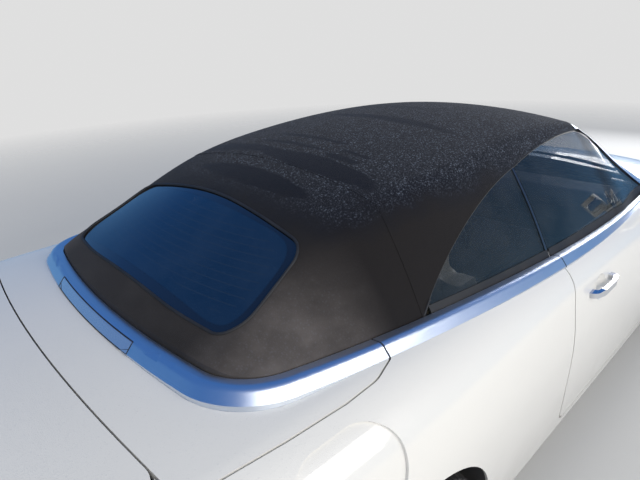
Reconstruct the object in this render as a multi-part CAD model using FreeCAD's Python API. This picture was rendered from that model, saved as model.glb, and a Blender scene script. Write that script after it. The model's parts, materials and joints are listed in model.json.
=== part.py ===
"""Four-seat convertible car with its fabric top closed, as an assembly of separate pieces.

X points forward, Y to the car's left and Z up. The origin is on the ground under the middle of the car.
All sizes are in millimetres.
"""
import FreeCAD, Part
import os
from math import acos, asin, atan, atan2, cos, degrees, hypot, pi, radians, sin, sqrt, tan
from FreeCAD import Vector

# Driving dimensions
LENGTH = 4626
WIDTH = 1854
HEIGHT = 1383
WHEELBASE = 2751
FRONT_OVERHANG = 861
FRONT_TRACK = 1590
REAR_TRACK = 1577
TYRE_DIAMETER = 652
TYRE_WIDTH = 245
ARCH_GAP = 40
BELT_HEIGHT = 926
BELT_SLOPE = 0.045
BELT_HALF_WIDTH = 776
SILL_TOP = 256
PANEL_WALL = 8
LID_WALL = 26
DOOR_WALL = 24
SHUT_GAP = 5
DOOR_GAP = 6.5
FABRIC_WALL = 20
GLASS_WALL = 5
GLASS_INSET = 6
GLASS_DROP = 14
TRIM_GAP = 4
LAMP_GAP = 2
SEAT_GAP = 0.3
HINGE_CLEARANCE = 0.3
BOOT_SWING = 70
RIM_RADIUS = 228.5
SPOKES = 10
SEAT_SPACING = 740

NOSE = LENGTH / 2
TAIL = -LENGTH / 2
FRONT_AXLE = NOSE - FRONT_OVERHANG
REAR_AXLE = FRONT_AXLE - WHEELBASE
TYRE_RADIUS = TYRE_DIAMETER / 2
ARCH_RADIUS = TYRE_RADIUS + ARCH_GAP
HALF_WIDTH = WIDTH / 2
FAR = 3 * LENGTH

# Where the shut lines run along the car
HEADER = FRONT_AXLE - 1142
COWL = FRONT_AXLE - 477
DOOR_FRONT = FRONT_AXLE - 547
DOOR_REAR = REAR_AXLE + 919
TOP_REAR = REAR_AXLE - 334
LID_FRONT = REAR_AXLE + 90
BOOT_FRONT = REAR_AXLE - 545

# Small helpers for shapes


def arc(a, b, c):
    return Part.Arc(a, b, c).toShape()


def line(a, b):
    return Part.LineSegment(a, b).toShape()


def mirrored(p):
    return Vector(p.x, -p.y, p.z)


def side(y):
    """Points in a lengthwise upright plane at that y."""
    return lambda x, z: Vector(x, y, z)


def plan(z):
    """Points in a level plane at that height."""
    return lambda x, y: Vector(x, y, z)


def across(x):
    """Points in a crosswise upright plane at that x."""
    return lambda y, z: Vector(x, y, z)


def rounded(corners, place):
    """Closed outline through corners (u, v, radius), each rounded by its radius."""
    ends = []
    for i, (u, v, r) in enumerate(corners):
        p = Vector(u, v, 0)
        if not r:
            ends.append((p, None, p))
            continue
        a = Vector(*corners[i - 1][:2], 0) - p
        b = Vector(*corners[(i + 1) % len(corners)][:2], 0) - p
        a.normalize()
        b.normalize()
        half = a.getAngle(b) / 2
        t = r / tan(half)
        bisector = (a + b).normalize()
        ends.append((p + a * t, p + bisector * (r / sin(half) - r), p + b * t))
    edges = []
    for i, (start, middle, end) in enumerate(ends):
        before = ends[i - 1][2]
        if (before - start).Length > 1e-4:
            edges.append(line(place(before.x, before.y), place(start.x, start.y)))
        if middle:
            edges.append(arc(*(place(q.x, q.y) for q in (start, middle, end))))
    return Part.Wire(edges)


def face(wire):
    return Part.Face(wire)


def extruded(wire, direction):
    return Part.Face(wire).extrude(direction)


def side_prism(corners, y0=-FAR / 2, y1=FAR / 2):
    return extruded(rounded(corners, side(y0)), Vector(0, y1 - y0, 0))


def plan_prism(corners, z0=0, z1=2 * HEIGHT):
    return extruded(rounded(corners, plan(z0)), Vector(0, 0, z1 - z0))


def cross_prism(corners, x0, x1):
    return extruded(rounded(corners, across(x0)), Vector(x1 - x0, 0, 0))


def box(x0, x1, y0, y1, z0, z1):
    y0, y1 = sorted((y0, y1))
    return Part.makeBox(x1 - x0, y1 - y0, z1 - z0, Vector(x0, y0, z0))


def cylinder_y(r, x, z, y0, y1):
    y0, y1 = sorted((y0, y1))
    return Part.makeCylinder(r, y1 - y0, Vector(x, y0, z), Vector(0, 1, 0))


def cylinder_x(r, y, z, x0, x1):
    return Part.makeCylinder(r, x1 - x0, Vector(x0, y, z), Vector(1, 0, 0))


def revolved(profile, x=0, z=0, angle=360):
    """Closed (y, radius) profile turned about a crosswise axis at (x, z)."""
    wire = Part.makePolygon([Vector(x, y, z + r) for y, r in profile + profile[:1]])
    return Part.Face(wire).revolve(Vector(x, 0, z), Vector(0, 1, 0), angle)


def fused(shapes):
    shapes = list(shapes)
    return shapes[0].fuse(shapes[1:]).removeSplitter() if len(shapes) > 1 else shapes[0]


def flip(shape):
    """The same shape on the other side of the car."""
    return shape.mirror(Vector(0, 0, 0), Vector(0, 1, 0))


def both(shape):
    return [shape, flip(shape)]


def largest(shape):
    return max(shape.Solids, key=lambda s: s.Volume)


# Body form: crosswise sections lofted from tail to nose
# x, inside of widest, waist z, centre z, crown, shoulder radius, tumblehome, sill inside, sill z, floor z
BODY_SECTIONS = [
    (TAIL - 25, 237, 600, 972, 20, 150, 24, 287, 330, 240),
    (TAIL + 110, 127, 610, 976, 22, 170, 23, 182, 300, 225),
    (TAIL + 313, 47, 620, 973, 22, 180, 21, 102, 270, 200),
    (REAR_AXLE - 200, 5, 640, 974, 22, 190, 20, 49, 235, 180),
    (REAR_AXLE + 150, 2, 640, 974, 24, 180, 18, 45, 220, 175),
    (REAR_AXLE + 900, 19, 600, 960, 30, 130, 13, 49, 210, 170),
    (FRONT_AXLE - 1150, 25, 600, 945, 30, 120, 12, 51, 210, 170),
    (FRONT_AXLE - 600, 22, 600, 938, 42, 120, 12, 53, 215, 175),
    (FRONT_AXLE, 3, 610, 897, 62, 115, 14, 57, 235, 185),
    (NOSE - 450, 43, 600, 825, 72, 115, 18, 101, 260, 195),
    (NOSE - 170, 135, 565, 742, 74, 100, 20, 197, 280, 205),
    (NOSE + 25, 277, 500, 665, 66, 80, 22, 347, 300, 215),
]
SILL_CHAMFER = 70


def body_section(x, inside, waist, centre, crown, shoulder, tumble, sill_in, sill, floor, inset):
    half = HALF_WIDTH - inside - inset
    foot = HALF_WIDTH - sill_in - inset
    top, sill, floor = centre - inset, sill + inset, floor + inset
    shoulder = max(shoulder - inset, 20)
    lean = radians(tumble)
    deck = half - shoulder
    for _ in range(8):
        slope = 2 * atan(crown / deck)
        shoulder_z = top - crown - shoulder * (cos(slope) - sin(lean))
        flank_r = (shoulder_z - waist) / sin(lean)
        deck = half - shoulder * (cos(lean) - sin(slope)) - flank_r * (1 - cos(lean))
    centre_y = deck - shoulder * sin(slope)
    centre_z = top - crown - shoulder * cos(slope)
    end = pi / 2 - lean
    middle = (slope + end) / 2
    p1 = Vector(x, deck, top - crown)
    m1 = Vector(x, centre_y + shoulder * sin(middle), centre_z + shoulder * cos(middle))
    p2 = Vector(x, centre_y + shoulder * sin(end), centre_z + shoulder * cos(end))
    m2 = Vector(x, half - flank_r * (1 - cos(lean / 2)), waist + flank_r * sin(lean / 2))
    p3 = Vector(x, half, waist)
    tuck, drop = half - foot, waist - sill
    tuck_r = (tuck * tuck + drop * drop) / (2 * tuck)
    turn = asin(drop / tuck_r) / 2
    m3 = Vector(x, half - tuck_r * (1 - cos(turn)), waist - tuck_r * sin(turn))
    p4 = Vector(x, foot, sill)
    p5 = Vector(x, foot - SILL_CHAMFER, floor)
    m = mirrored
    edges = [line(m(p5), p5), line(p5, p4), arc(p4, m3, p3), arc(p3, m2, p2), arc(p2, m1, p1)]
    edges += [arc(p1, Vector(x, 0, top), m(p1)), arc(m(p1), m(m1), m(p2)), arc(m(p2), m(m2), m(p3))]
    edges += [arc(m(p3), m(m3), m(p4)), line(m(p4), m(p5))]
    return Part.Wire(edges)


# Nose and tail in side view, from top to bottom: distance inside the very end, height, radius
NOSE_PROFILE = [
    (170, 1200, 0), (130, 760, 60), (52, 690, 60), (0, 590, 130), (6, 420, 120), (60, 235, 60), (190, 140, 0)
]
TAIL_PROFILE = [
    (60, 1200, 0), (62, 930, 14), (40, 700, 80), (0, 620, 60), (4, 450, 90), (60, 235, 60), (200, 140, 0)
]
NOSE_BOW = 1750
TAIL_BOW = 2600


def end_cutter(profile, tip, bow, inset, sign):
    """Ring that trims an end to its profile, bowed about an upright axis inside the car."""
    place = side(0)
    corners = [(tip - sign * (d + inset), z, r) for d, z, r in profile]
    reach = tip + sign * 900
    corners = [(reach, 1200, 0)] + corners + [(reach, 140, 0)]
    axis = Vector(tip - sign * bow, 0, 0)
    ring = face(rounded(corners, place)).revolve(axis, Vector(0, 0, 1), 90)
    ring.rotate(axis, Vector(0, 0, 1), -45)
    return ring


def body_form(inset=0):
    rows = [list(row) for row in BODY_SECTIONS]
    rows[0][0] -= inset
    rows[-1][0] += inset
    loft = Part.makeLoft([body_section(*row, inset) for row in rows], True, False)
    nose = end_cutter(NOSE_PROFILE, NOSE, NOSE_BOW, inset, 1)
    tail = end_cutter(TAIL_PROFILE, TAIL, TAIL_BOW, inset, -1)
    return loft.cut(nose).cut(tail)


# Belt outline: long side arcs, a bowed rear and round corners between them
SIDE_ARC = 8000
REAR_ARC = 3180
CORNER_RADIUS = 170
SIDE_WIDEST = 20
BELT_TILT = degrees(atan(BELT_SLOPE))
# Beyond TRIM_GAP outside the hem, distances shrink to this share by the doors' front ends
TRIM_TAPER = 0.42


def belt_height(x):
    return BELT_HEIGHT - BELT_SLOPE * x


def belt_centres(d):
    """Centres and radii of the side, corner and rear arcs on the right, d outside the hem."""
    side_c = Vector(SIDE_WIDEST, SIDE_ARC - BELT_HALF_WIDTH, 0)
    rear_c = Vector(TOP_REAR + REAR_ARC, 0, 0)
    a, b = SIDE_ARC - CORNER_RADIUS, REAR_ARC - CORNER_RADIUS
    gap = rear_c - side_c
    reach = gap.Length
    along = (a * a - b * b + reach * reach) / (2 * reach)
    height = sqrt(a * a - along * along)
    u = Vector(gap).normalize()
    n = Vector(u.y, -u.x, 0)
    corner = min((side_c + u * along + n * s * height for s in (1, -1)), key=lambda p: p.x)
    side_r = SIDE_ARC + d
    if d > TRIM_GAP:
        # The side arc leaves the corner arc smoothly and closes in on the hem
        out = Vector(corner - side_c).normalize()
        start = corner + out * (CORNER_RADIUS + d)
        hem = sqrt(SIDE_ARC**2 - (DOOR_FRONT - side_c.x) ** 2) - side_c.y
        end = Vector(DOOR_FRONT, -(hem + TRIM_GAP + (d - TRIM_GAP) * TRIM_TAPER), 0)
        chord = end - start
        side_r = -chord.Length**2 / (2 * chord.dot(out))
        side_c = start - out * side_r
    return (side_c, side_r), (corner, CORNER_RADIUS + d), (rear_c, REAR_ARC + d)


def belt_points(d):
    """Where the right-hand arcs meet: side to corner, and corner to rear."""
    (side_c, side_r), (corner, _), (rear_c, rear_r) = belt_centres(d)
    first = side_c + Vector(corner - side_c).normalize() * side_r
    second = rear_c + Vector(corner - rear_c).normalize() * rear_r
    return first, second


def belt_half(x, d=0):
    """Half the width of the belt outline at x, on its side or corner arcs."""
    (side_c, side_r), (corner, corner_r), _ = belt_centres(d)
    first, second = belt_points(d)
    if x >= first.x:
        return -(side_c.y - sqrt(side_r**2 - (x - side_c.x) ** 2))
    return -(corner.y - sqrt(max(corner_r**2 - (x - corner.x) ** 2, 0)))


def belt_wire(d, front):
    """Closed plan outline at height 0, from a straight front line round the rear."""
    (side_c, side_r), (corner, corner_r), (rear_c, rear_r) = belt_centres(d)
    first, second = belt_points(d)
    start = Vector(front, -belt_half(front, d), 0)
    mid1 = (start.x + first.x) / 2
    m1 = Vector(mid1, -belt_half(mid1, d), 0)
    m2 = corner + ((first - corner) + (second - corner)).normalize() * corner_r
    m3 = Vector(rear_c.x - rear_r, 0, 0)
    m = mirrored
    edges = [arc(start, m1, first), arc(first, m2, second), arc(second, m3, m(second))]
    edges += [arc(m(second), m(m2), m(first)), arc(m(first), m(m1), m(start)), line(m(start), start)]
    return Part.Wire(edges)


def tilted(shape):
    """Lays a level shape on the belt plane."""
    shape = shape.copy()
    shape.rotate(Vector(0, 0, 0), Vector(0, 1, 0), BELT_TILT)
    shape.translate(Vector(0, 0, BELT_HEIGHT))
    return shape


def belt_prism(d, low, high, front=None):
    """Solid inside the belt outline, from low to high above the belt plane."""
    wire = belt_wire(d, NOSE if front is None else front)
    prism = extruded(wire, Vector(0, 0, high - low))
    prism.translate(Vector(0, 0, low))
    return tilted(prism)


# Belt trim section: distance outside the hem, height above the belt plane
TRIM_OUT = 64
TRIM_CREST = 32
TRIM_TOP = 2
TRIM_DROP = 28
TRIM_DEPTH = 42
# Along the sides: x, how much the trim's top rises, and how far its outer edge is below the belt plane
TRIM_SIDE = [(DOOR_REAR - 320, 0, 28), (DOOR_REAR + 280, 0, 23), (DOOR_REAR + 680, 3, 11)]
TRIM_SIDE += [(DOOR_FRONT - 305, 9, -2), (DOOR_FRONT + 100, 14, -10)]


def trim_wire(place, rise=0, drop=TRIM_DROP):
    """The trim's upright section; place gives the point at a distance out and a height up."""
    top = TRIM_TOP + rise
    inner, outer = place(TRIM_GAP, top - 3), place(TRIM_OUT, -drop)
    crest = [
        place(TRIM_CREST - 6, top), place(TRIM_CREST + 7, top - 2), place(TRIM_CREST + 15, top - 9 + rise / 3)
    ]
    low_out, low_in = place(TRIM_OUT, -TRIM_DEPTH), place(TRIM_GAP, -TRIM_DEPTH)
    edges = [line(inner, crest[0]), arc(*crest), line(crest[2], outer)]
    return Part.Wire(edges + [line(outer, low_out), line(low_out, low_in), line(low_in, inner)])


def beside_hem(direction):
    """Places a section on a side arc, along that direction from the hem's own centre."""
    centre = belt_centres(0)[0][0]

    def place(out, up):
        ring_c, ring_r = belt_centres(out)[0]
        back = centre - ring_c
        along = back.dot(direction)
        reach = sqrt(along * along - back.Length**2 + ring_r**2) - along
        p = centre + direction * reach
        return Vector(p.x, p.y, up)

    return place


def belt_trim():
    """The whole band round the car at the foot of the glass and the top, before it is cut to length."""
    (side_c, side_r), (corner, corner_r), (rear_c, rear_r) = belt_centres(0)
    first, second = belt_points(0)

    def swept(centre, radius, a, b):
        u, v = (a - centre).normalize(), (b - centre).normalize()
        section = trim_wire(lambda out, up: Vector(*(centre + u * (radius + out))[:2], up))
        return Part.Face(section).revolve(centre, Vector(0, 0, 1), -degrees(u.getAngle(v)))

    sections = [trim_wire(beside_hem((first - side_c).normalize()))]
    for x, rise, drop in TRIM_SIDE:
        hem = Vector(x, -belt_half(x), 0)
        sections.append(trim_wire(beside_hem((hem - side_c).normalize()), rise, drop))
    side_piece = Part.makeLoft(sections, True, False)
    rear = swept(rear_c, rear_r, second, Vector(rear_c.x - rear_r, 0, 0))
    pieces = [side_piece, swept(corner, corner_r, first, second), rear]
    return tilted(fused(pieces + [flip(p) for p in pieces]))


# Glasshouse form: crosswise sections from the rear hem to the windscreen's foot
# x, top z, crown, eave radius, lean at eave, lean at base, half width where given, at that z
TOP_SECTIONS = [
    (TOP_REAR - 67, 970, 22, 60, 62, 50, 470, 940),
    (TOP_REAR + 13, 1021, 26, 80, 62, 50, 590, 950),
    (TOP_REAR + 103, 1071, 30, 105, 60, 46, 650, 965),
    (TOP_REAR + 213, 1131, 35, 125, 56, 38, None, None),
    (TOP_REAR + 343, 1200, 41, 130, 50, 30, None, None),
    (TOP_REAR + 503, 1268, 46, 120, 43, 24, None, None),
    (TOP_REAR + 693, 1319, 50, 105, 38, 20, None, None),
    (TOP_REAR + 913, 1351, 53, 95, 36, 18, None, None),
    (TOP_REAR + 1173, 1373, 54, 90, 36, 18, None, None),
    (HEADER - 490, HEIGHT, 53, 85, 37, 18, None, None),
    (HEADER - 230, 1372, 50, 78, 38, 19, None, None),
    (HEADER, 1338, 46, 70, 40, 20, None, None),
]
SCREEN_SECTIONS = [
    (HEADER, 1338, 46, 70, 40, 20, None, None),
    (HEADER + 250, 1198, 62, 66, 40, 20, None, None),
    (HEADER + 500, 1055, 72, 60, 40, 20, None, None),
    (COWL, 958, 76, 55, 38, 22, 735, 850),
    (COWL + 100, 900, 76, 50, 38, 24, 725, 780),
]
FORM_BASE = 740


def top_section(x, top, crown, eave, lean_top, lean_base, half, at, inset):
    lt, lb = radians(lean_top), radians(lean_base)
    target = belt_half(x) if half is None else half
    level = belt_height(x) if at is None else at
    edge = target - 150
    for _ in range(12):
        slope = 2 * atan(crown / edge)
        eave_z = top - crown - eave * (cos(slope) - sin(lt))
        eave_y = edge + eave * (cos(lt) - sin(slope))
        flank = (eave_z - FORM_BASE) / (sin(lt) - sin(lb))
        cy, cz = eave_y - flank * cos(lt), eave_z - flank * sin(lt)
        edge += target - (cy + sqrt(flank**2 - (level - cz) ** 2))
    crown_r = (edge * edge + crown * crown) / (2 * crown)
    crown_z = top - crown_r
    ey, ez = edge - eave * sin(slope), top - crown - eave * cos(slope)
    e, f, g = eave - inset, flank - inset, crown_r - inset
    top_mid = Vector(x, 0, crown_z + g)
    p1 = Vector(x, g * sin(slope), crown_z + g * cos(slope))
    end = pi / 2 - lt
    m1 = Vector(x, ey + e * sin((slope + end) / 2), ez + e * cos((slope + end) / 2))
    p2 = Vector(x, ey + e * sin(end), ez + e * cos(end))
    low = asin((FORM_BASE - cz) / f)
    m2 = Vector(x, cy + f * cos((lt + low) / 2), cz + f * sin((lt + low) / 2))
    p3 = Vector(x, cy + f * cos(low), FORM_BASE)
    m = mirrored
    edges = [line(m(p3), p3), arc(p3, m2, p2), arc(p2, m1, p1), arc(p1, top_mid, m(p1))]
    edges += [arc(m(p1), m(m1), m(p2)), arc(m(p2), m(m2), m(p3))]
    return Part.Wire(edges)


def top_form(rows, inset=0):
    return Part.makeLoft([top_section(*row, inset) for row in rows], True, False)


# Outlines in side view (x, z, radius)
WINDOW_TOP = 1272
WINDOW_FRONT_TOP = 1256
GLASS_SPLIT = DOOR_REAR + 28
WINDOW_TIP = REAR_AXLE + 280


def window_wire(shrink=0):
    """Side windows' whole outline in side view, above the belt."""
    tip = Vector(WINDOW_TIP + shrink, 0, belt_height(WINDOW_TIP) - 40)
    tip_top = Vector(WINDOW_TIP + shrink, 0, belt_height(WINDOW_TIP) - shrink)
    quarter = Vector(WINDOW_TIP + 325, 0, 1152 - shrink)
    split = Vector(GLASS_SPLIT, 0, 1238 - shrink)
    middle = Vector(HEADER - 370, 0, WINDOW_TOP - shrink)
    head = Vector(HEADER + 22 - 1.5 * shrink, 0, WINDOW_FRONT_TOP - shrink)
    foot = Vector(DOOR_FRONT - 40 - 1.5 * shrink, 0, belt_height(DOOR_FRONT) + 2)
    low = Vector(DOOR_FRONT - 40 - 1.5 * shrink, 0, belt_height(DOOR_FRONT) - 60)
    edges = [line(tip, tip_top), arc(tip_top, quarter, split), arc(split, middle, head)]
    edges += [line(head, foot), line(foot, low), line(low, tip)]
    return Part.Wire(edges)


def window_prism(shrink=0):
    wire = window_wire(shrink)
    wire.translate(Vector(0, -FAR / 2, 0))
    return extruded(wire, Vector(0, FAR, 0))


def door_outline(grow=0):
    """Door skin outline in side view. The rear edge bows and the front edge leans."""
    g = grow
    return [
        (DOOR_REAR + 37 - g, 1040, 0),
        (DOOR_REAR + 37 - g, 935, 120),
        (DOOR_REAR - 10 - g, 800, 260),
        (DOOR_REAR - g, 450, 300),
        (DOOR_REAR + 42 - g, SILL_TOP - g, 70),
        (DOOR_FRONT - 12 + g, SILL_TOP - g, 50),
        (DOOR_FRONT + 22 + g, 480, 300),
        (DOOR_FRONT - 10 + g, 800, 300),
        (DOOR_FRONT - 30 + g, 1040, 0),
    ]


BUMPER_TOP_REAR = 694
REAR_BUMPER = [
    (REAR_AXLE - 300, 100, 0),
    (REAR_AXLE - 300, 520, 0),
    (REAR_AXLE - 420, 556, 80),
    (TAIL + 270, 640, 100),
    (TAIL + 230, BUMPER_TOP_REAR, 40),
    (TAIL - 200, BUMPER_TOP_REAR, 0),
    (TAIL - 200, 100, 0),
]
FRONT_BUMPER = [
    (FRONT_AXLE + 300, 100, 0),
    (FRONT_AXLE + 300, 520, 0),
    (FRONT_AXLE + 400, 560, 60),
    (NOSE - 330, 588, 100),
    (NOSE - 90, 640, 60),
    (NOSE + 200, 640, 0),
    (NOSE + 200, 100, 0),
]
# Lids in plan, left half from front to back (x, y, radius)
BOOT_APEX = (BOOT_FRONT - 27, 0, 5600)
BOOT_LID = [(BOOT_FRONT + 51, 716, 60), (BOOT_FRONT - 300, 650, 300), (TAIL - 100, 548, 0)]
BONNET_REAR = COWL + 72
BONNET = [
    (BONNET_REAR - 28, 742, 30),
    (FRONT_AXLE - 150, 726, 600),
    (FRONT_AXLE + 300, 640, 500),
    (NOSE - 182, 500, 140),
]
BONNET_TIP = NOSE - 128
LID_SIDE = [(LID_FRONT - 30, 690, 60), (LID_FRONT + 13, 712, 16), (LID_FRONT + 6, 742, 30)]
LID_SIDE += [(LID_FRONT - 81, 770, 120), (LID_FRONT - 190, 773, 60), (LID_FRONT - 350, 764, 60)]
LID_CORNER = (BOOT_FRONT + 58, 742, 26)
HEADLAMP = [
    (NOSE - 420, 660, 30),
    (NOSE - 200, 668, 40),
    (NOSE - 60, 702, 30),
    (NOSE - 60, 596, 20),
    (NOSE - 250, 590, 60),
]
TAIL_LAMP = [(TAIL + 250, 800, 40), (TAIL - 60, 838, 0), (TAIL - 60, 708, 0), (TAIL + 200, 722, 50)]
HEADLAMP_INNER = 470
TAIL_LAMP_INNER = 400
LIP = 9

PLATE_HALF = 268
GRILLE_HALF = 430
GRILLE_LOW = 330
GRILLE_HIGH = 560
GRILLE_SLATS = 5
LAMP_HALF = 275
FRAME_WALL = 34
COWL_DROP = 44
COWL_HALF = 628
MIRROR_REACH = 1010
HANDLE_X = DOOR_REAR + 232
HANDLE_Z = 788
HANDLE_HALF = 118
CUP_RADIUS = 75
CUP_DEPTH = 20
FLAP_CENTRE = (REAR_AXLE - 181, -HALF_WIDTH + 35, 835)
FLAP_HALF_LENGTH = 149
FLAP_HALF_HEIGHT = 118
FLAP_LEAN = 35

# Cabin and structure
SILL_INNER = 748
FLOOR = 172
FLOOR_WALL = 12
SHEET = 8
TUNNEL_HALF = 125
TUNNEL_TOP = 330
FIREWALL = COWL - 40
BULKHEAD = REAR_AXLE + 310
POST_FRONT = DOOR_FRONT - 90
POST_HALF = 744
POST_INNER = 640
DOOR_BOX_FRONT = DOOR_FRONT - 104
DOOR_INSIDE = 708
BOOT_FLOOR = 330
BOOT_HALF = 560
SHELF = 640
WELL_FRONT = 447
WELL_REAR = BOOT_HALF + SHEET
WELL_END = TAIL + 280
RAIL_INNER = 372
RAIL_LOW = 330
SEAT_BASE = 200
DRIVER = SEAT_SPACING / 2
WHEEL_CENTRE = Vector(COWL - 465, DRIVER, 842)
COLUMN_TILT = 24
COLUMN_RADIUS = 22
TAILPIPE = 34
TAILPIPE_Y = 430
TAILPIPE_Z = 246
KINGPIN_IN = 25
KNUCKLE_FOOT = 170
ARM_THICKNESS = 14
ARM_CLEAR = 6
AXLE_PIN = 25

# Hinges
DOOR_HINGE_X = DOOR_FRONT - 75
DOOR_HINGE_Y = 886
DOOR_HINGE_LEVELS = (480, 675)
DOOR_PIN = 5
BONNET_HINGE_X = COWL - 15
BONNET_HINGE_Z = 872
BONNET_ARM_Y = 640
BONNET_CLEAR = 14
BOOT_HINGE_X = BOOT_FRONT + 250
BOOT_HINGE_Z = 928
BOOT_ARM_Y = 543
LID_PIVOT_Z = 973.5
HINGE_PIN = 6


def bonnet_outline(grow=0):
    left = [(x + (grow if i == len(BONNET) - 1 else 0), y + grow, r) for i, (x, y, r) in enumerate(BONNET)]
    left[0] = (left[0][0] - grow, left[0][1], left[0][2])
    rear = [(BONNET_REAR - grow, 0, 0)]
    return rear + left + [(BONNET_TIP + grow, 0, 3000)] + [(x, -y, r) for x, y, r in reversed(left)]


def boot_outline(grow=0):
    left = [(x + (grow if i == 0 else 0), y + grow, r) for i, (x, y, r) in enumerate(BOOT_LID)]
    x, y, r = BOOT_APEX
    return [(x + grow, y, r)] + left + [(x, -y, r) for x, y, r in reversed(left)]


def lid_outline(grow=0):
    """Top's lid in plan: from its two front ends round both sides to the boot lid."""
    left = [(x, y + grow, r) for x, y, r in LID_SIDE]
    x, y, r = LID_CORNER
    left += [(x - grow, y + grow, r)]
    x, y, r = BOOT_APEX
    rear = [(x + SHUT_GAP - grow, y, r)]
    return left + rear + [(x, -y, r) for x, y, r in reversed(left)]


def arches():
    cutters = []
    for x in (FRONT_AXLE, REAR_AXLE):
        for s in (1, -1):
            cutters.append(cylinder_y(ARCH_RADIUS, x, TYRE_RADIUS, s * WELL_REAR, s * (HALF_WIDTH + 80)))
    return cutters


def side_cut(corners, inner, grow=0):
    """Lamp outline in side view, grown a little, from |y| of inner outwards on both sides."""
    cx = sum(c[0] for c in corners) / len(corners)
    cz = sum(c[1] for c in corners) / len(corners)
    grown = [(x + (grow if x > cx else -grow), z + (grow if z > cz else -grow), r) for x, z, r in corners]
    return fused(both(side_prism(grown, inner - grow, HALF_WIDTH + 60)))


def bumper_prism(corners, grow, sign):
    return side_prism([(x - sign * grow, z + grow, r) for x, z, r in corners])


def grille_prism(grow=0):
    corners = [
        (-GRILLE_HALF + 60 - grow, GRILLE_LOW - grow, 30), (GRILLE_HALF - 60 + grow, GRILLE_LOW - grow, 30)
    ]
    corners += [(GRILLE_HALF + grow, GRILLE_HIGH + grow, 40), (-GRILLE_HALF - grow, GRILLE_HIGH + grow, 40)]
    return cross_prism(corners, NOSE - 300, NOSE + 60)


def flap_prism(grow=0):
    """Fuel flap on the right shoulder: a rounded outline cut through at the shoulder's slant."""
    x, y, z = FLAP_CENTRE
    a, b = FLAP_HALF_LENGTH + grow, FLAP_HALF_HEIGHT + grow
    lean = radians(FLAP_LEAN)
    up, out = Vector(0, sin(lean), cos(lean)), Vector(0, -cos(lean), sin(lean))
    corners = [(-a, -b, 100), (a, -b, 115), (a, b, 115), (-a, b, 100)]
    wire = rounded(corners, lambda u, v: Vector(x + u, y, z) + up * v - out * 40)
    return extruded(wire, out * 160)


def plate_recess():
    """Shallow recess for the number plate in the boot lid's rear face."""
    corners = [
        (-PLATE_HALF, 712, 14), (PLATE_HALF, 712, 14), (PLATE_HALF - 20, 858, 14), (-PLATE_HALF + 20, 858, 14)
    ]
    return cross_prism(corners, TAIL - 40, TAIL + 54)


def door_zone(grow=0):
    return side_prism(door_outline(grow), 560, HALF_WIDTH + 60)


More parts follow.
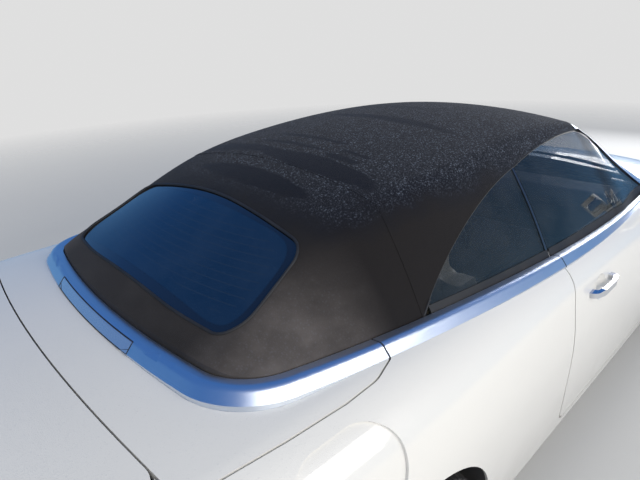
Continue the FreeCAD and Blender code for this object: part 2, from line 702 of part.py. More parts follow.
def body_panels(outer, inner, core, deep):
    """Painted skin cut along its shut lines, with the lamps, flap and grille that fill its openings."""
    nodes = {}
    shell = outer.cut(inner)
    thick = outer.cut(deep)
    lips = core.cut(deep)
    gap = SEAT_GAP
    over_belt = belt_prism(TRIM_OUT + gap, -TRIM_DEPTH - gap, 400, DOOR_FRONT - 34)
    wheels = arches()
    bonnet_cut = plan_prism(bonnet_outline(SHUT_GAP), 500)
    boot_cut = plan_prism(boot_outline(SHUT_GAP), BUMPER_TOP_REAR - 150)
    lid_cut = plan_prism(lid_outline(SHUT_GAP), 800)
    headlamp_cut = side_cut(HEADLAMP, HEADLAMP_INNER, LAMP_GAP)
    tail_cut = side_cut(TAIL_LAMP, TAIL_LAMP_INNER, LAMP_GAP)
    top = 1100

    # Wings run from the doors to the bumper, beside the bonnet
    wing = shell.common(box(DOOR_FRONT - 40, NOSE, 330, HALF_WIDTH + 50, SILL_TOP + SHUT_GAP, top))
    cowl_cut = box(COWL - 130, BONNET_REAR + 10, -700, 700, 700, top)
    front_gap = bumper_prism(FRONT_BUMPER, SHUT_GAP / 2, 1)
    wing = wing.cut([front_gap, bonnet_cut, door_zone(DOOR_GAP), over_belt, headlamp_cut, cowl_cut] + wheels)
    nodes["front_wings"] = both(largest(wing))

    # Quarters with the sills under the doors; the fuel flap is on the right
    zone = box(TAIL, FRONT_AXLE, 330, HALF_WIDTH + 50, 100, top)
    ahead = box(DOOR_FRONT - 60, FRONT_AXLE, 0, HALF_WIDTH + 50, SILL_TOP, top)
    below = box(REAR_AXLE - 500, FRONT_AXLE, 0, SILL_INNER, 0, 420)
    rear_gap = bumper_prism(REAR_BUMPER, SHUT_GAP / 2, -1)
    quarter = shell.common(zone).cut(
        [rear_gap, boot_cut, lid_cut, door_zone(DOOR_GAP), over_belt, tail_cut, ahead, below] + wheels
    )
    quarter = largest(quarter)
    nodes["body_sides"] = [quarter, largest(flip(quarter).cut(flap_prism(2)))]
    flap = fused([shell.common(flap_prism()), lips.common(flap_prism(LIP))])
    nodes["fuel_flap"] = [largest(flap)]

    # Doors: skin with a hollow box behind it
    skin = shell.common(door_zone()).cut(over_belt)
    left = door(largest(skin), inner, outer)
    nodes["door_left"] = [left]
    nodes["door_right"] = [flip(left)]

    # Lids are thicker, with their frames and hinge arms
    bonnet = largest(thick.common(plan_prism(bonnet_outline(), 560)).cut([headlamp_cut, front_gap]))
    nodes["bonnet"] = [largest(fused([bonnet] + bonnet_arms()).cut(bonnet_pins(HINGE_CLEARANCE)))]
    boot = thick.common(plan_prism(boot_outline(), BUMPER_TOP_REAR + SHUT_GAP)).cut(
        [tail_cut, plate_recess()]
    )
    nodes["boot_lid"] = [largest(fused([largest(boot)] + boot_arms()).cut(boot_pins(HINGE_CLEARANCE)))]
    lid = thick.common(plan_prism(lid_outline(), 800)).cut(belt_prism(TRIM_OUT + gap, -200, 400))
    nodes["tonneau_lid"] = [largest(lid)]

    # Bumpers
    bumper = shell.common(bumper_prism(FRONT_BUMPER, -SHUT_GAP / 2, 1))
    bumper = bumper.cut(wheels + [headlamp_cut, grille_prism(gap), bonnet_cut])
    nodes["front_bumper"] = [largest(bumper)]
    under = box(TAIL + 190, REAR_AXLE - 200, -700, 700, 0, 330)
    tips = [cylinder_x(TAILPIPE + 9, s * TAILPIPE_Y, TAILPIPE_Z, TAIL - 10, TAIL + 300) for s in (1, -1)]
    bumper = shell.common(bumper_prism(REAR_BUMPER, -SHUT_GAP / 2, -1)).cut(wheels + tips + [tail_cut, under])
    nodes["rear_bumper"] = [largest(bumper)]

    # Lamps are flush with the skin, and their lips lie behind it
    beside_bonnet = plan_prism(bonnet_outline(SHUT_GAP + 4), 500)
    lens = thick.common(side_cut(HEADLAMP, HEADLAMP_INNER)).cut(bonnet_cut)
    lip = lips.common(side_cut(HEADLAMP, HEADLAMP_INNER, LIP)).cut(beside_bonnet)
    nodes["headlamps"] = pair(fused([lens, lip]))
    lens = thick.common(side_cut(TAIL_LAMP, TAIL_LAMP_INNER)).cut(boot_cut)
    lip = lips.common(side_cut(TAIL_LAMP, TAIL_LAMP_INNER, LIP)).cut(
        plan_prism(boot_outline(SHUT_GAP + 4), 500)
    )
    nodes["tail_lamps"] = pair(fused([lens, lip]))
    lens = thick.common(side_cut(TAIL_LAMP, TAIL_LAMP_INNER, LAMP_GAP - gap)).common(
        plan_prism(boot_outline(-1), 500)
    )
    nodes["lid_lamps"] = pair(lens)

    # Front grille of level slats in a frame
    grille = thick.common(grille_prism())
    pitch = (GRILLE_HIGH - GRILLE_LOW - 30) / GRILLE_SLATS
    slots = []
    for i in range(GRILLE_SLATS):
        z = GRILLE_LOW + 22 + i * pitch
        slots.append(box(NOSE - 300, NOSE + 50, -GRILLE_HALF + 50, GRILLE_HALF - 50, z, z + pitch - 14))
    nodes["grille"] = [largest(grille.cut(slots))]

    # The cowl is sunk below the bonnet's rear edge
    panel = lowered(shell, COWL_DROP).common(
        box(COWL - 20, BONNET_REAR + 40, -COWL_HALF, COWL_HALF, 700, top)
    )
    nodes["cowl"] = [panel]
    return nodes


def pair(shape):
    """The largest solid on the left and its twin on the right."""
    left = largest(shape.common(box(-FAR, FAR, 0, FAR, -FAR, FAR)))
    return both(left)


def lowered(shape, drop):
    shape = shape.copy()
    shape.translate(Vector(0, 0, -drop))
    return shape


def handle_cup(outer, grow=0):
    """Ball that scoops the finger cup behind the pull handle out of the door's skin."""
    ray = outer.common(line(Vector(HANDLE_X, 0, HANDLE_Z), Vector(HANDLE_X, HALF_WIDTH + 50, HANDLE_Z)))
    skin_y = max(v.Y for v in ray.Vertexes)
    return Part.makeSphere(CUP_RADIUS + grow, Vector(HANDLE_X, skin_y + CUP_RADIUS - CUP_DEPTH, HANDLE_Z))


def door(skin, inner, outer):
    """Left door: painted skin, a box behind it, a rail beside the glass and ears on the hinge pins."""
    top = belt_height(0) + 80

    def zone(shrink):
        s = shrink
        return [
            (DOOR_REAR + 30 + s, top, 0),
            (DOOR_REAR + 20 + s, 600, 0),
            (DOOR_REAR + 60 + s, SILL_TOP + 40 + s, 40),
            (DOOR_BOX_FRONT - 8 - s, SILL_TOP + 40 + s, 40),
            (DOOR_BOX_FRONT - s, top, 0),
        ]

    trim_cut = belt_prism(TRIM_OUT + SEAT_GAP, -TRIM_DEPTH - SEAT_GAP, 400)
    room = side_prism(zone(DOOR_WALL), DOOR_INSIDE + DOOR_WALL, HALF_WIDTH + 30)
    room = room.cut(box(-FAR, FAR, 0, FAR, belt_height(DOOR_FRONT) - TRIM_DEPTH - DOOR_WALL, FAR))
    block = inner.common(side_prism(zone(0), DOOR_INSIDE, HALF_WIDTH)).cut([trim_cut, room])
    rail = glass_rail(DOOR_REAR + 30, DOOR_BOX_FRONT, DOOR_INSIDE)
    ears = []
    for z in DOOR_HINGE_LEVELS:
        ear = plan_prism(
            [
                (DOOR_BOX_FRONT - 20, DOOR_HINGE_Y - 16, 0),
                (DOOR_HINGE_X + 9, DOOR_HINGE_Y - 9, 8),
                (DOOR_HINGE_X + 9, DOOR_HINGE_Y + 12, 0),
                (DOOR_BOX_FRONT - 20, DOOR_HINGE_Y + 12, 0),
            ],
            z + SEAT_GAP,
            z + 16,
        )
        ears.append(ear)
    pins = [
        Part.makeCylinder(DOOR_PIN + HINGE_CLEARANCE, 60, Vector(DOOR_HINGE_X, DOOR_HINGE_Y, z - 20))
        for z in DOOR_HINGE_LEVELS
    ]
    ears = [ear.common(inner) for ear in ears]
    cup = handle_cup(outer, SHEET / 2).common(inner)
    return largest(fused([skin, block, rail, cup] + ears).cut(pins + [handle_cup(outer)]))


def glass_rail(x0, x1, inside):
    """Rail under the side glass, from inside to a seat's gap off the glass."""
    zone = box(x0, x1, inside, HALF_WIDTH, 700, HEIGHT)
    low = belt_prism(40, -TRIM_DEPTH - 30, -TRIM_DEPTH - SEAT_GAP, x1).common(zone)
    rail = belt_prism(TRIM_GAP - SEAT_GAP, -TRIM_DEPTH - 30, -4, x1).common(zone)
    forms = [top_form(rows, GLASS_INSET + GLASS_WALL + SEAT_GAP) for rows in (TOP_SECTIONS, SCREEN_SECTIONS)]
    return largest(fused([low, rail.common(fused(forms))]))


def bonnet_pins(grow=0):
    r = HINGE_PIN + grow
    return [
        cylinder_y(r, BONNET_HINGE_X, BONNET_HINGE_Z, s * (BONNET_ARM_Y - 4), s * (BONNET_ARM_Y + SHEET + 12))
        for s in (1, -1)
    ]


def bonnet_arms():
    """Arms from under the bonnet's rear edge back to its hinge pins."""
    x, z = BONNET_HINGE_X, BONNET_HINGE_Z
    corners = [
        (x - 13, z - 13, 12),
        (BONNET_REAR + 60, z - 22, 20),
        (BONNET_REAR + 130, z - 16, 10),
        (BONNET_REAR + 130, z, 0),
    ]
    corners += [(BONNET_REAR + 20, z + 2, 10), (x + 30, z + 12, 10), (x - 13, z + 13, 12)]
    return both(side_prism(corners, BONNET_ARM_Y, BONNET_ARM_Y + SHEET))


def boot_pins(grow=0):
    r = HINGE_PIN + grow
    return [
        cylinder_y(r, BOOT_HINGE_X, BOOT_HINGE_Z, s * (BOOT_ARM_Y - 4), s * (BOOT_HALF + 2)) for s in (1, -1)
    ]


def boot_arms():
    """Swan necks: an arc about the pin that passes behind the top's lid, and a bar back to the pin."""
    x, z = BOOT_HINGE_X, BOOT_HINGE_Z
    reach = x - BOOT_FRONT
    swing = BOOT_SWING + 18
    y0, y1 = BOOT_ARM_Y, BOOT_ARM_Y + SHEET
    profile = [(y0, reach + 2), (y1, reach + 2), (y1, reach + 22), (y0, reach + 22)]
    neck = revolved(profile, x, z, swing)
    # From straight back, 6 degrees above level, the arc runs down and forward, so that the open
    # bar slants down under the top's lid
    neck.rotate(Vector(x, 0, z), Vector(0, 1, 0), -90 + 6 - swing)
    bar = box(x - reach - 12, x + 11, y0, y1, z - 8, z + 8)
    bar = bar.fuse(cylinder_y(11, x, z, y0, y1))
    bar.rotate(Vector(x, 0, z), Vector(0, 1, 0), -(swing - 6 - 2))
    top = box(x - reach - 120, x - reach - 2, y0, y1, z + 8, LID_PIVOT_Z - LID_WALL + 4)
    return both(fused([neck, bar, top]))


def trims(band):
    """The bright band: one piece on the top's lid, one on each quarter and one on each door."""
    nodes = {}
    rear = box(-FAR, LID_FRONT - 4, -HALF_WIDTH, HALF_WIDTH, 0, HEIGHT)
    quarter = box(LID_FRONT + 1, DOOR_REAR + 34 - 3, 0, HALF_WIDTH, 0, HEIGHT)
    on_door = box(DOOR_REAR + 34 + 3, DOOR_FRONT - 44, 0, HALF_WIDTH, 0, HEIGHT)
    far = belt_prism(TRIM_OUT + 30, -TRIM_DEPTH - 3, TRIM_TOP + 5)
    whole = band.common(rear)
    recess = box(-FAR, TOP_REAR, -LAMP_HALF, LAMP_HALF, 0, HEIGHT).common(far).cut(
        belt_prism(TRIM_CREST + 10 - LAMP_GAP, -TRIM_DEPTH - 4, TRIM_TOP + 6)
    )
    nodes["tonneau_trim"] = [largest(whole.cut(recess))]
    half = LAMP_HALF - LAMP_GAP
    fill = box(-FAR, TOP_REAR, -half, half, 0, HEIGHT).cut(
        belt_prism(TRIM_CREST + 10, -TRIM_DEPTH - 4, TRIM_TOP + 6)
    )
    nodes["high_brake_lamp"] = [largest(whole.common(fill))]
    nodes["belt_trim"] = both(largest(band.common(quarter)))
    left = largest(band.common(on_door))
    nodes["door_trim_left"] = [left]
    nodes["door_trim_right"] = [flip(left)]
    return nodes


def rear_glass(shrink=0):
    s = shrink
    x, half = TOP_REAR, 512
    left = [
        (x + 82 + s, 300, 1500),
        (x + 104 + s, 478 - s, 62),
        (x + 160, half - s, 90),
        (x + 398 - s, 470 - s, 70),
    ]
    return left + [(x + 424 - s, 0, 2500)] + [(a, -b, r) for a, b, r in reversed(left)]


def screen_glass(shrink=0):
    s = shrink
    left = [(HEADER + 52 + s, 555 - s, 60), (COWL - 80, 668 - s, 90), (COWL - 8 - s, 560, 200)]
    return [(HEADER + 44 + s, 0, 4000)] + left + [(COWL + 14 - s, 0, 3000)] + [
        (a, -b, r) for a, b, r in reversed(left)
    ]


def glasshouse(outer, cowl):
    """Fabric top, windscreen and its frame, all the glass, and the cowl at the windscreen's foot."""
    nodes = {}
    gap = SEAT_GAP
    roof = top_form(TOP_SECTIONS)
    roof_in = top_form(TOP_SECTIONS, FABRIC_WALL)
    above = belt_prism(-1, -16, 700)
    fabric = roof.cut(roof_in).common(above)
    fabric = fabric.cut(
        [window_prism(0), plan_prism(rear_glass()), box(HEADER - gap, FAR, -FAR, FAR, 0, FAR)]
    )
    nodes["soft_top"] = [largest(fabric)]
    pane = top_form(TOP_SECTIONS, 4).cut(top_form(TOP_SECTIONS, 4 + GLASS_WALL))
    nodes["rear_window"] = [largest(pane.common(plan_prism(rear_glass(gap))))]

    # Side glass follows the top's form a little inside it
    glass = []
    for rows in (TOP_SECTIONS, SCREEN_SECTIONS):
        glass.append(top_form(rows, GLASS_INSET).cut(top_form(rows, GLASS_INSET + GLASS_WALL)))
    behind_trim = belt_prism(TRIM_OUT, -TRIM_DEPTH, TRIM_TOP + 1).cut(
        belt_prism(TRIM_GAP - gap, -TRIM_DEPTH - 5, TRIM_TOP + 5)
    )
    sheet = fused(glass).cut([belt_prism(TRIM_OUT + 100, -200, -GLASS_DROP), behind_trim])
    quarter = sheet.common(window_prism(gap)).common(
        box(WINDOW_TIP + 30, GLASS_SPLIT - 5, 0, HALF_WIDTH, 800, HEIGHT)
    )
    nodes["quarter_glass"] = both(largest(quarter))
    on_door = sheet.common(window_prism(6)).common(
        box(GLASS_SPLIT + 5, DOOR_FRONT - 58, 0, HALF_WIDTH, 800, HEIGHT)
    )
    left = largest(on_door)
    nodes["door_glass_left"] = [left]
    nodes["door_glass_right"] = [flip(left)]

    # Windscreen, its frame and the wall down from the glass to the sunk cowl
    hoop = top_form(SCREEN_SECTIONS).cut(top_form(SCREEN_SECTIONS, FRAME_WALL)).cut(
        [plan_prism(screen_glass()), window_prism(-5)]
    )
    foot = box(COWL - 50, COWL + 200, -COWL_HALF, COWL_HALF, 700, 1100)
    nodes["windscreen_frame"] = [largest(hoop.cut([foot, lowered(outer, -gap)]))]
    pane = top_form(SCREEN_SECTIONS, 3).cut(top_form(SCREEN_SECTIONS, 3 + GLASS_WALL))
    nodes["windscreen"] = [largest(pane.common(plan_prism(screen_glass(gap))))]
    inside = box(COWL - 50 + gap, BONNET_REAR, -COWL_HALF + gap, COWL_HALF - gap, 700, 1100)
    wall = hoop.common(inside).cut(lowered(outer, COWL_DROP + 4))
    whole = fused([cowl, wall]).cut(
        [plan_prism(bonnet_outline(BONNET_CLEAR), 874), plan_prism(screen_glass(), 860)]
    )
    nodes["cowl"] = [largest(whole)]
    return nodes


def structure(core, outer):
    """Floor, sills, posts, bulkheads, wheel housings, boot well, rails and hinge brackets."""
    f, w, t, gap = FLOOR, FLOOR_WALL, SHEET, SEAT_GAP
    parts = []

    def put(x0, x1, y0, y1, z0, z1):
        for s in (1, -1):
            parts.append(box(x0, x1, s * y0, s * y1, z0, z1))

    def middle(x0, x1, half, z0, z1):
        parts.append(box(x0, x1, -half, half, z0, z1))

    middle(BULKHEAD - 10, BULKHEAD, 650, f, 880)
    middle(TAIL, BULKHEAD, BOOT_HALF, BOOT_FLOOR, BOOT_FLOOR + t)
    middle(TAIL, TAIL + 70, 640, 480, 600)
    middle(REAR_AXLE - 320, BULKHEAD, 590, SHELF, SHELF + t)
    middle(FRONT_AXLE + 620, FRONT_AXLE + 660, RAIL_INNER + 58, 340, 560)
    middle(FRONT_AXLE + 660, NOSE, 300, 560, 600)
    put(DOOR_REAR - 200, FIREWALL + 60, 740, 860, f, SILL_TOP - 8)
    put(POST_FRONT, FIREWALL + 60, POST_INNER, POST_HALF, f, 838)
    put(POST_FRONT, FIREWALL + 60, POST_HALF, 790, f, 760)
    put(DOOR_REAR - 60, DOOR_REAR - 14, 700, 880, f, 880)
    put(FIREWALL, FRONT_AXLE + 660, RAIL_INNER, RAIL_INNER + 58, RAIL_LOW, RAIL_LOW + 90)
    put(BULKHEAD, DOOR_REAR - 14, 700, 700 + t, f, 885)
    put(TAIL, WELL_END + 20, BOOT_HALF, BOOT_HALF + t, BOOT_FLOOR, 640)
    put(WELL_END, BULKHEAD, BOOT_HALF, BOOT_HALF + t, BOOT_FLOOR, 900)
    put(WELL_END, BULKHEAD, BOOT_HALF, 790, 892, 900)
    put(TAIL, REAR_AXLE - 420, BOOT_HALF, BOOT_HALF + t, 250, BOOT_FLOOR + 10)
    for x, inner_y in ((REAR_AXLE, WELL_REAR), (FRONT_AXLE, WELL_FRONT)):
        for s in (1, -1):
            ring = cylinder_y(ARCH_RADIUS + 2 + t, x, TYRE_RADIUS, s * inner_y, s * HALF_WIDTH)
            ring = ring.cut(
                cylinder_y(ARCH_RADIUS + 2, x, TYRE_RADIUS, s * (inner_y - 1), s * (HALF_WIDTH + 1))
            )
            parts.append(ring.cut(box(x - 500, x + 500, -FAR, FAR, -200, TYRE_RADIUS - 110)))
            if x == REAR_AXLE:
                wall = cylinder_y(ARCH_RADIUS + 2 + t, x, TYRE_RADIUS, s * BOOT_HALF, s * WELL_REAR)
                parts.append(wall.cut(box(x - 500, x + 500, -FAR, FAR, -200, BOOT_FLOOR)))
    put(
        FRONT_AXLE - 60,
        FRONT_AXLE + 60,
        RAIL_INNER + 20,
        WELL_FRONT + 100,
        ARCH_RADIUS + TYRE_RADIUS,
        ARCH_RADIUS + TYRE_RADIUS + 10,
    )
    put(
        FRONT_AXLE - 60,
        FRONT_AXLE + 60,
        RAIL_INNER + 20,
        RAIL_INNER + 28,
        RAIL_LOW + 80,
        ARCH_RADIUS + TYRE_RADIUS + 10,
    )
    body = fused(parts).common(core)

    # Firewall and the bonnet's hinge brackets reach up to the sunk cowl
    fire = box(FIREWALL, FIREWALL + 10, -735, 735, f, 940).common(
        lowered(outer, COWL_DROP + PANEL_WALL + gap)
    )
    fire = fire.common(core)
    extra = [fire]
    for s in (1, -1):
        x, z = BONNET_HINGE_X, BONNET_HINGE_Z
        plate = box(
            FIREWALL, x + 14, s * (BONNET_ARM_Y + SHEET + gap), s * (BONNET_ARM_Y + 2 * SHEET), 760, z + 10
        )
        extra.append(plate)
    extra += bonnet_pins()
    # The floor is the underside of the car
    extra.append(box(BULKHEAD - 20, FIREWALL + 10, -SILL_INNER + 1, SILL_INNER - 1, f, f + w))
    extra.append(box(BULKHEAD - 20, FIREWALL + 10, -TUNNEL_HALF, TUNNEL_HALF, f, TUNNEL_TOP))
    for s in (1, -1):
        for a in (-190, 160):
            y = s * DRIVER + a
            extra.append(box(-430, 60, y, y + 30, f + w - 2, SEAT_BASE - gap))
    extra.append(box(BULKHEAD, -640, -560, 560, f + w - 2, SEAT_BASE - gap))
    # Boot hinge pins stand in the well's walls, and door hinge brackets on the posts
    x, y = DOOR_HINGE_X, DOOR_HINGE_Y
    leaf = [
        (x - 11, 750, 0),
        (x - 8, y + 5, 6),
        (x + 6, y + 5, 6),
        (x + 6, 796, 0),
        (x + 30, 770, 0),
        (x + 30, 750, 0),
    ]
    for s in (1, -1):
        wall = box(
            BOOT_HINGE_X - 30, BOOT_HINGE_X + 30, s * BOOT_HALF, s * (BOOT_HALF + t), 880, BOOT_HINGE_Z + 9
        )
        extra.append(wall)
        for z in DOOR_HINGE_LEVELS:
            plate = plan_prism(leaf, z - 14, z)
            pin = Part.makeCylinder(DOOR_PIN, 28, Vector(x, y, z - 12))
            hinge = fused([plate, pin])
            extra.append(hinge if s > 0 else flip(hinge))
    extra += boot_pins()
    # Rails that carry the hem of the top and the quarter glass
    rim = belt_prism(0, -46, -16 - gap, WINDOW_TIP + 40).cut(belt_prism(-34, -60, 0, WINDOW_TIP + 60))
    extra.append(largest(rim.common(box(-FAR, WINDOW_TIP + 36, -FAR, FAR, 0, FAR))))
    rail = glass_rail(WINDOW_TIP + 20, DOOR_REAR - 14, 694)
    extra += both(rail)
    for s in (1, -1):
        extra.append(
            box(BOOT_FRONT + 240, BULKHEAD, s * BOOT_HALF, s * (BOOT_HALF + t), 890, 960).common(
                belt_prism(-10, -200, -30, WINDOW_TIP)
            )
        )
        extra.append(box(BULKHEAD, WINDOW_TIP + 60, s * BOOT_HALF, s * (700 + t), 860, 868))
    cutters = []
    for x, inner_y in ((REAR_AXLE, WELL_REAR), (FRONT_AXLE, WELL_FRONT - 1)):
        for s in (1, -1):
            cutters.append(cylinder_y(ARCH_RADIUS + 2, x, TYRE_RADIUS, s * inner_y, s * (HALF_WIDTH + 100)))
    cutters.append(box(BULKHEAD - 400, FIREWALL + 300, -TUNNEL_HALF + t, TUNNEL_HALF - t, 0, TUNNEL_TOP - t))
    whole = largest(fused([body] + extra).cut(cutters))
    rear = box(-FAR, BULKHEAD - 10, -FAR, FAR, 0, FAR)
    front = box(FIREWALL + 60, FAR, -FAR, FAR, 0, FAR)
    return {
        "floor_pan": whole.cut([rear, front]).Solids,
        "boot_well": whole.common(rear).Solids,
        "front_frame": whole.common(front).Solids,
    }


def tyre_and_rim(x, y, s):
    """One wheel: s is 1 on the left. The rim carries its brake disc."""
    half, r = TYRE_WIDTH / 2, TYRE_RADIUS
    bead = RIM_RADIUS + SEAT_GAP
    tyre = [
        (-104, bead),
        (-half + 2, 275),
        (-half + 10, r - 14),
        (-88, r),
        (88, r),
        (half - 10, r - 14),
        (half - 2, 275),
        (104, bead),
    ]
    ring = revolved(tyre, x, r)
    ring.translate(Vector(0, y, 0))
    edge = RIM_RADIUS
    barrel = [
        (-107, edge), (-107, edge + 8), (-113, edge + 8), (-113, edge - 10), (-60, edge - 20), (80, edge - 20)
    ]
    barrel += [(104, edge - 12), (113, edge - 2), (113, edge + 8), (107, edge + 8), (107, edge)]
    bore = AXLE_PIN + SEAT_GAP
    hub = [(-57, bore), (-57, 148), (-37, 148), (-37, 62), (52, 62), (70, 50), (70, 0), (20, 0), (20, bore)]
    parts = [revolved([(a * s, b) for a, b in barrel], x, r), revolved([(a * s, b) for a, b in hub], x, r)]
    for i in range(SPOKES):
        outline = [(34, 40), (64, 40), (98, edge - 14), (70, edge - 14)]
        spoke = extruded(
            Part.makePolygon([Vector(x - 17, s * a, r + b) for a, b in outline + outline[:1]]),
            Vector(34, 0, 0),
        )
        spoke.rotate(Vector(x, 0, r), Vector(0, 1, 0), i * 360 / SPOKES)
        parts.append(spoke)
    for i in range(5):
        a = radians(i * 72 + 18)
        parts.append(cylinder_y(9, x + 40 * sin(a), r + 40 * cos(a), s * 50, s * 76))
    rim = fused(parts)
    rim.translate(Vector(0, y, 0))
    return ring, rim


def wheels():
    """Tyres, rims with brake discs, and the front knuckles that carry them."""
    nodes = {}
    for end, x, track in (("front", FRONT_AXLE, FRONT_TRACK), ("rear", REAR_AXLE, REAR_TRACK)):
        for name, s in (("left", 1), ("right", -1)):
            ring, rim = tyre_and_rim(x, s * track / 2, s)
            nodes["tyre_%s_%s" % (end, name)] = [ring]
            nodes["rim_%s_%s" % (end, name)] = [rim]

    y = FRONT_TRACK / 2

    def put(x0, x1, y0, y1, z0, z1):
        return box(FRONT_AXLE + x0, FRONT_AXLE + x1, y + y0, y + y1, TYRE_RADIUS + z0, TYRE_RADIUS + z1)

    pin = cylinder_y(AXLE_PIN, FRONT_AXLE, TYRE_RADIUS, y - 80, y + 12)
    upright = [put(-34, 34, -100, -76, -KNUCKLE_FOOT, 176), put(-24, 24, -100, -12, 158, 178)]
    upright.append(put(-24, 24, -100, -12, -KNUCKLE_FOOT, -154))
    steer = put(-150, -20, -100, -84, -70, -40)
    caliper = put(-156, -84, -84, -62, -66, 66)
    over = put(-172, -152, -84, -14, -60, 60)
    knuckle = fused([pin, steer, caliper, over] + upright)
    nodes["knuckle_left"] = [knuckle]
    nodes["knuckle_right"] = [flip(knuckle)]
    return nodes


def chassis():
    """Arms and struts, engine block and exhaust."""
    nodes = {}
    gap = SEAT_GAP
    cross_top = 250
    front = [box(FRONT_AXLE - 200, FRONT_AXLE + 20, -345, 345, 200, cross_top)]
    rear = [box(REAR_AXLE - 130, REAR_AXLE + 130, -240, 240, 210, 300)]
    y = FRONT_TRACK / 2 - KINGPIN_IN
    x = FRONT_AXLE
    top = TYRE_RADIUS - KNUCKLE_FOOT - ARM_CLEAR
    low = top - ARM_THICKNESS
    outline = [
        (x - 26, y + 20, 20), (x + 26, y + 20, 20), (x + 28, 625, 40), (x + 60, 540, 60), (x + 40, 332, 0)
    ]
    outline += [(x - 220, 332, 0), (x - 90, 540, 60), (x - 28, 625, 40)]
    arm = plan_prism(outline, low, top)
    post = box(x - 220, x + 40, 330, RAIL_INNER - gap, low, 400)
    ball = Part.makeCylinder(10, ARM_CLEAR - gap + 1, Vector(x, y, top - 1))
    for part in (arm, post, ball):
        front += both(part)
    x = REAR_AXLE
    y = REAR_TRACK / 2
    pin = cylinder_y(AXLE_PIN, x, TYRE_RADIUS, y - 80, y + 12)
    carrier = box(x - 60, x + 60, y - 106, y - 78, 220, 420)
    lower = box(x - 40, x + 40, 200, y - 98, 224, 250)
    spring = Part.makeCylinder(52, BOOT_FLOOR - gap - 249, Vector(x, 500, 249))
    for part in (pin, carrier, lower, spring):
        rear += both(part)
    nodes["front_suspension"] = [fused(front)]
    nodes["rear_suspension"] = [fused(rear)]
    pipe = cylinder_x(25, 0, 172, REAR_AXLE - 585, FIREWALL + 120)
    elbow = Part.makeCylinder(20, 50, Vector(REAR_AXLE - 562, 0, 172))
    silencer = cross_prism(
        [(-480, 205, 40), (480, 205, 40), (480, 300, 40), (-480, 300, 40)], TAIL + 210, REAR_AXLE - 540
    )
    tails = [cylinder_x(TAILPIPE, s * TAILPIPE_Y, TAILPIPE_Z, TAIL + 62, TAIL + 220) for s in (1, -1)]
    hangers = [
        Part.makeCylinder(8, BOOT_FLOOR - gap - 290, Vector(TAIL + 340, s * 300, 290)) for s in (1, -1)
    ]
    nodes["exhaust"] = [fused([pipe, elbow, silencer] + tails + hangers)]
    block = cross_prism(
        [(-250, 270, 30), (250, 270, 30), (290, 560, 60), (240, 740, 40), (-240, 740, 40), (-290, 560, 60)],
        FIREWALL + 140,
        FRONT_AXLE + 420,
    )
    feet = [Part.makeCylinder(30, 30, Vector(FRONT_AXLE - 90, s * 190, cross_top + gap)) for s in (1, -1)]
    nodes["engine"] = [fused([block] + feet)]
    return nodes


def seat(y, half, x, back_top, head_top):
    """One seat: cushion, back and headrest as one closed form, x at the cushion's front."""
    outline = [
        (x, SEAT_BASE, 30),
        (x, SEAT_BASE + 180, 60),
        (x - 360, SEAT_BASE + 175, 70),
        (x - 600, back_top, 50),
        (x - 622, back_top + 20, 10),
        (x - 645, head_top, 40),
        (x - 735, head_top, 45),
        (x - 735, back_top - 10, 40),
        (x - 560, SEAT_BASE, 60),
    ]
    whole = side_prism(outline, y - half, y + half)
    narrow = side_prism(
        [(x - 500, back_top + 10, 0), (x - 500, FAR, 0), (x - 900, FAR, 0), (x - 900, back_top + 10, 0)],
        y - 130,
        y + 130,
    )
    lower = side_prism(
        [(x + 50, 0, 0), (x + 50, back_top + 10, 0), (x - 900, back_top + 10, 0), (x - 900, 0, 0)],
        y - half - 10,
        y + half + 10,
    )
    return largest(whole.common(fused([narrow, lower])))


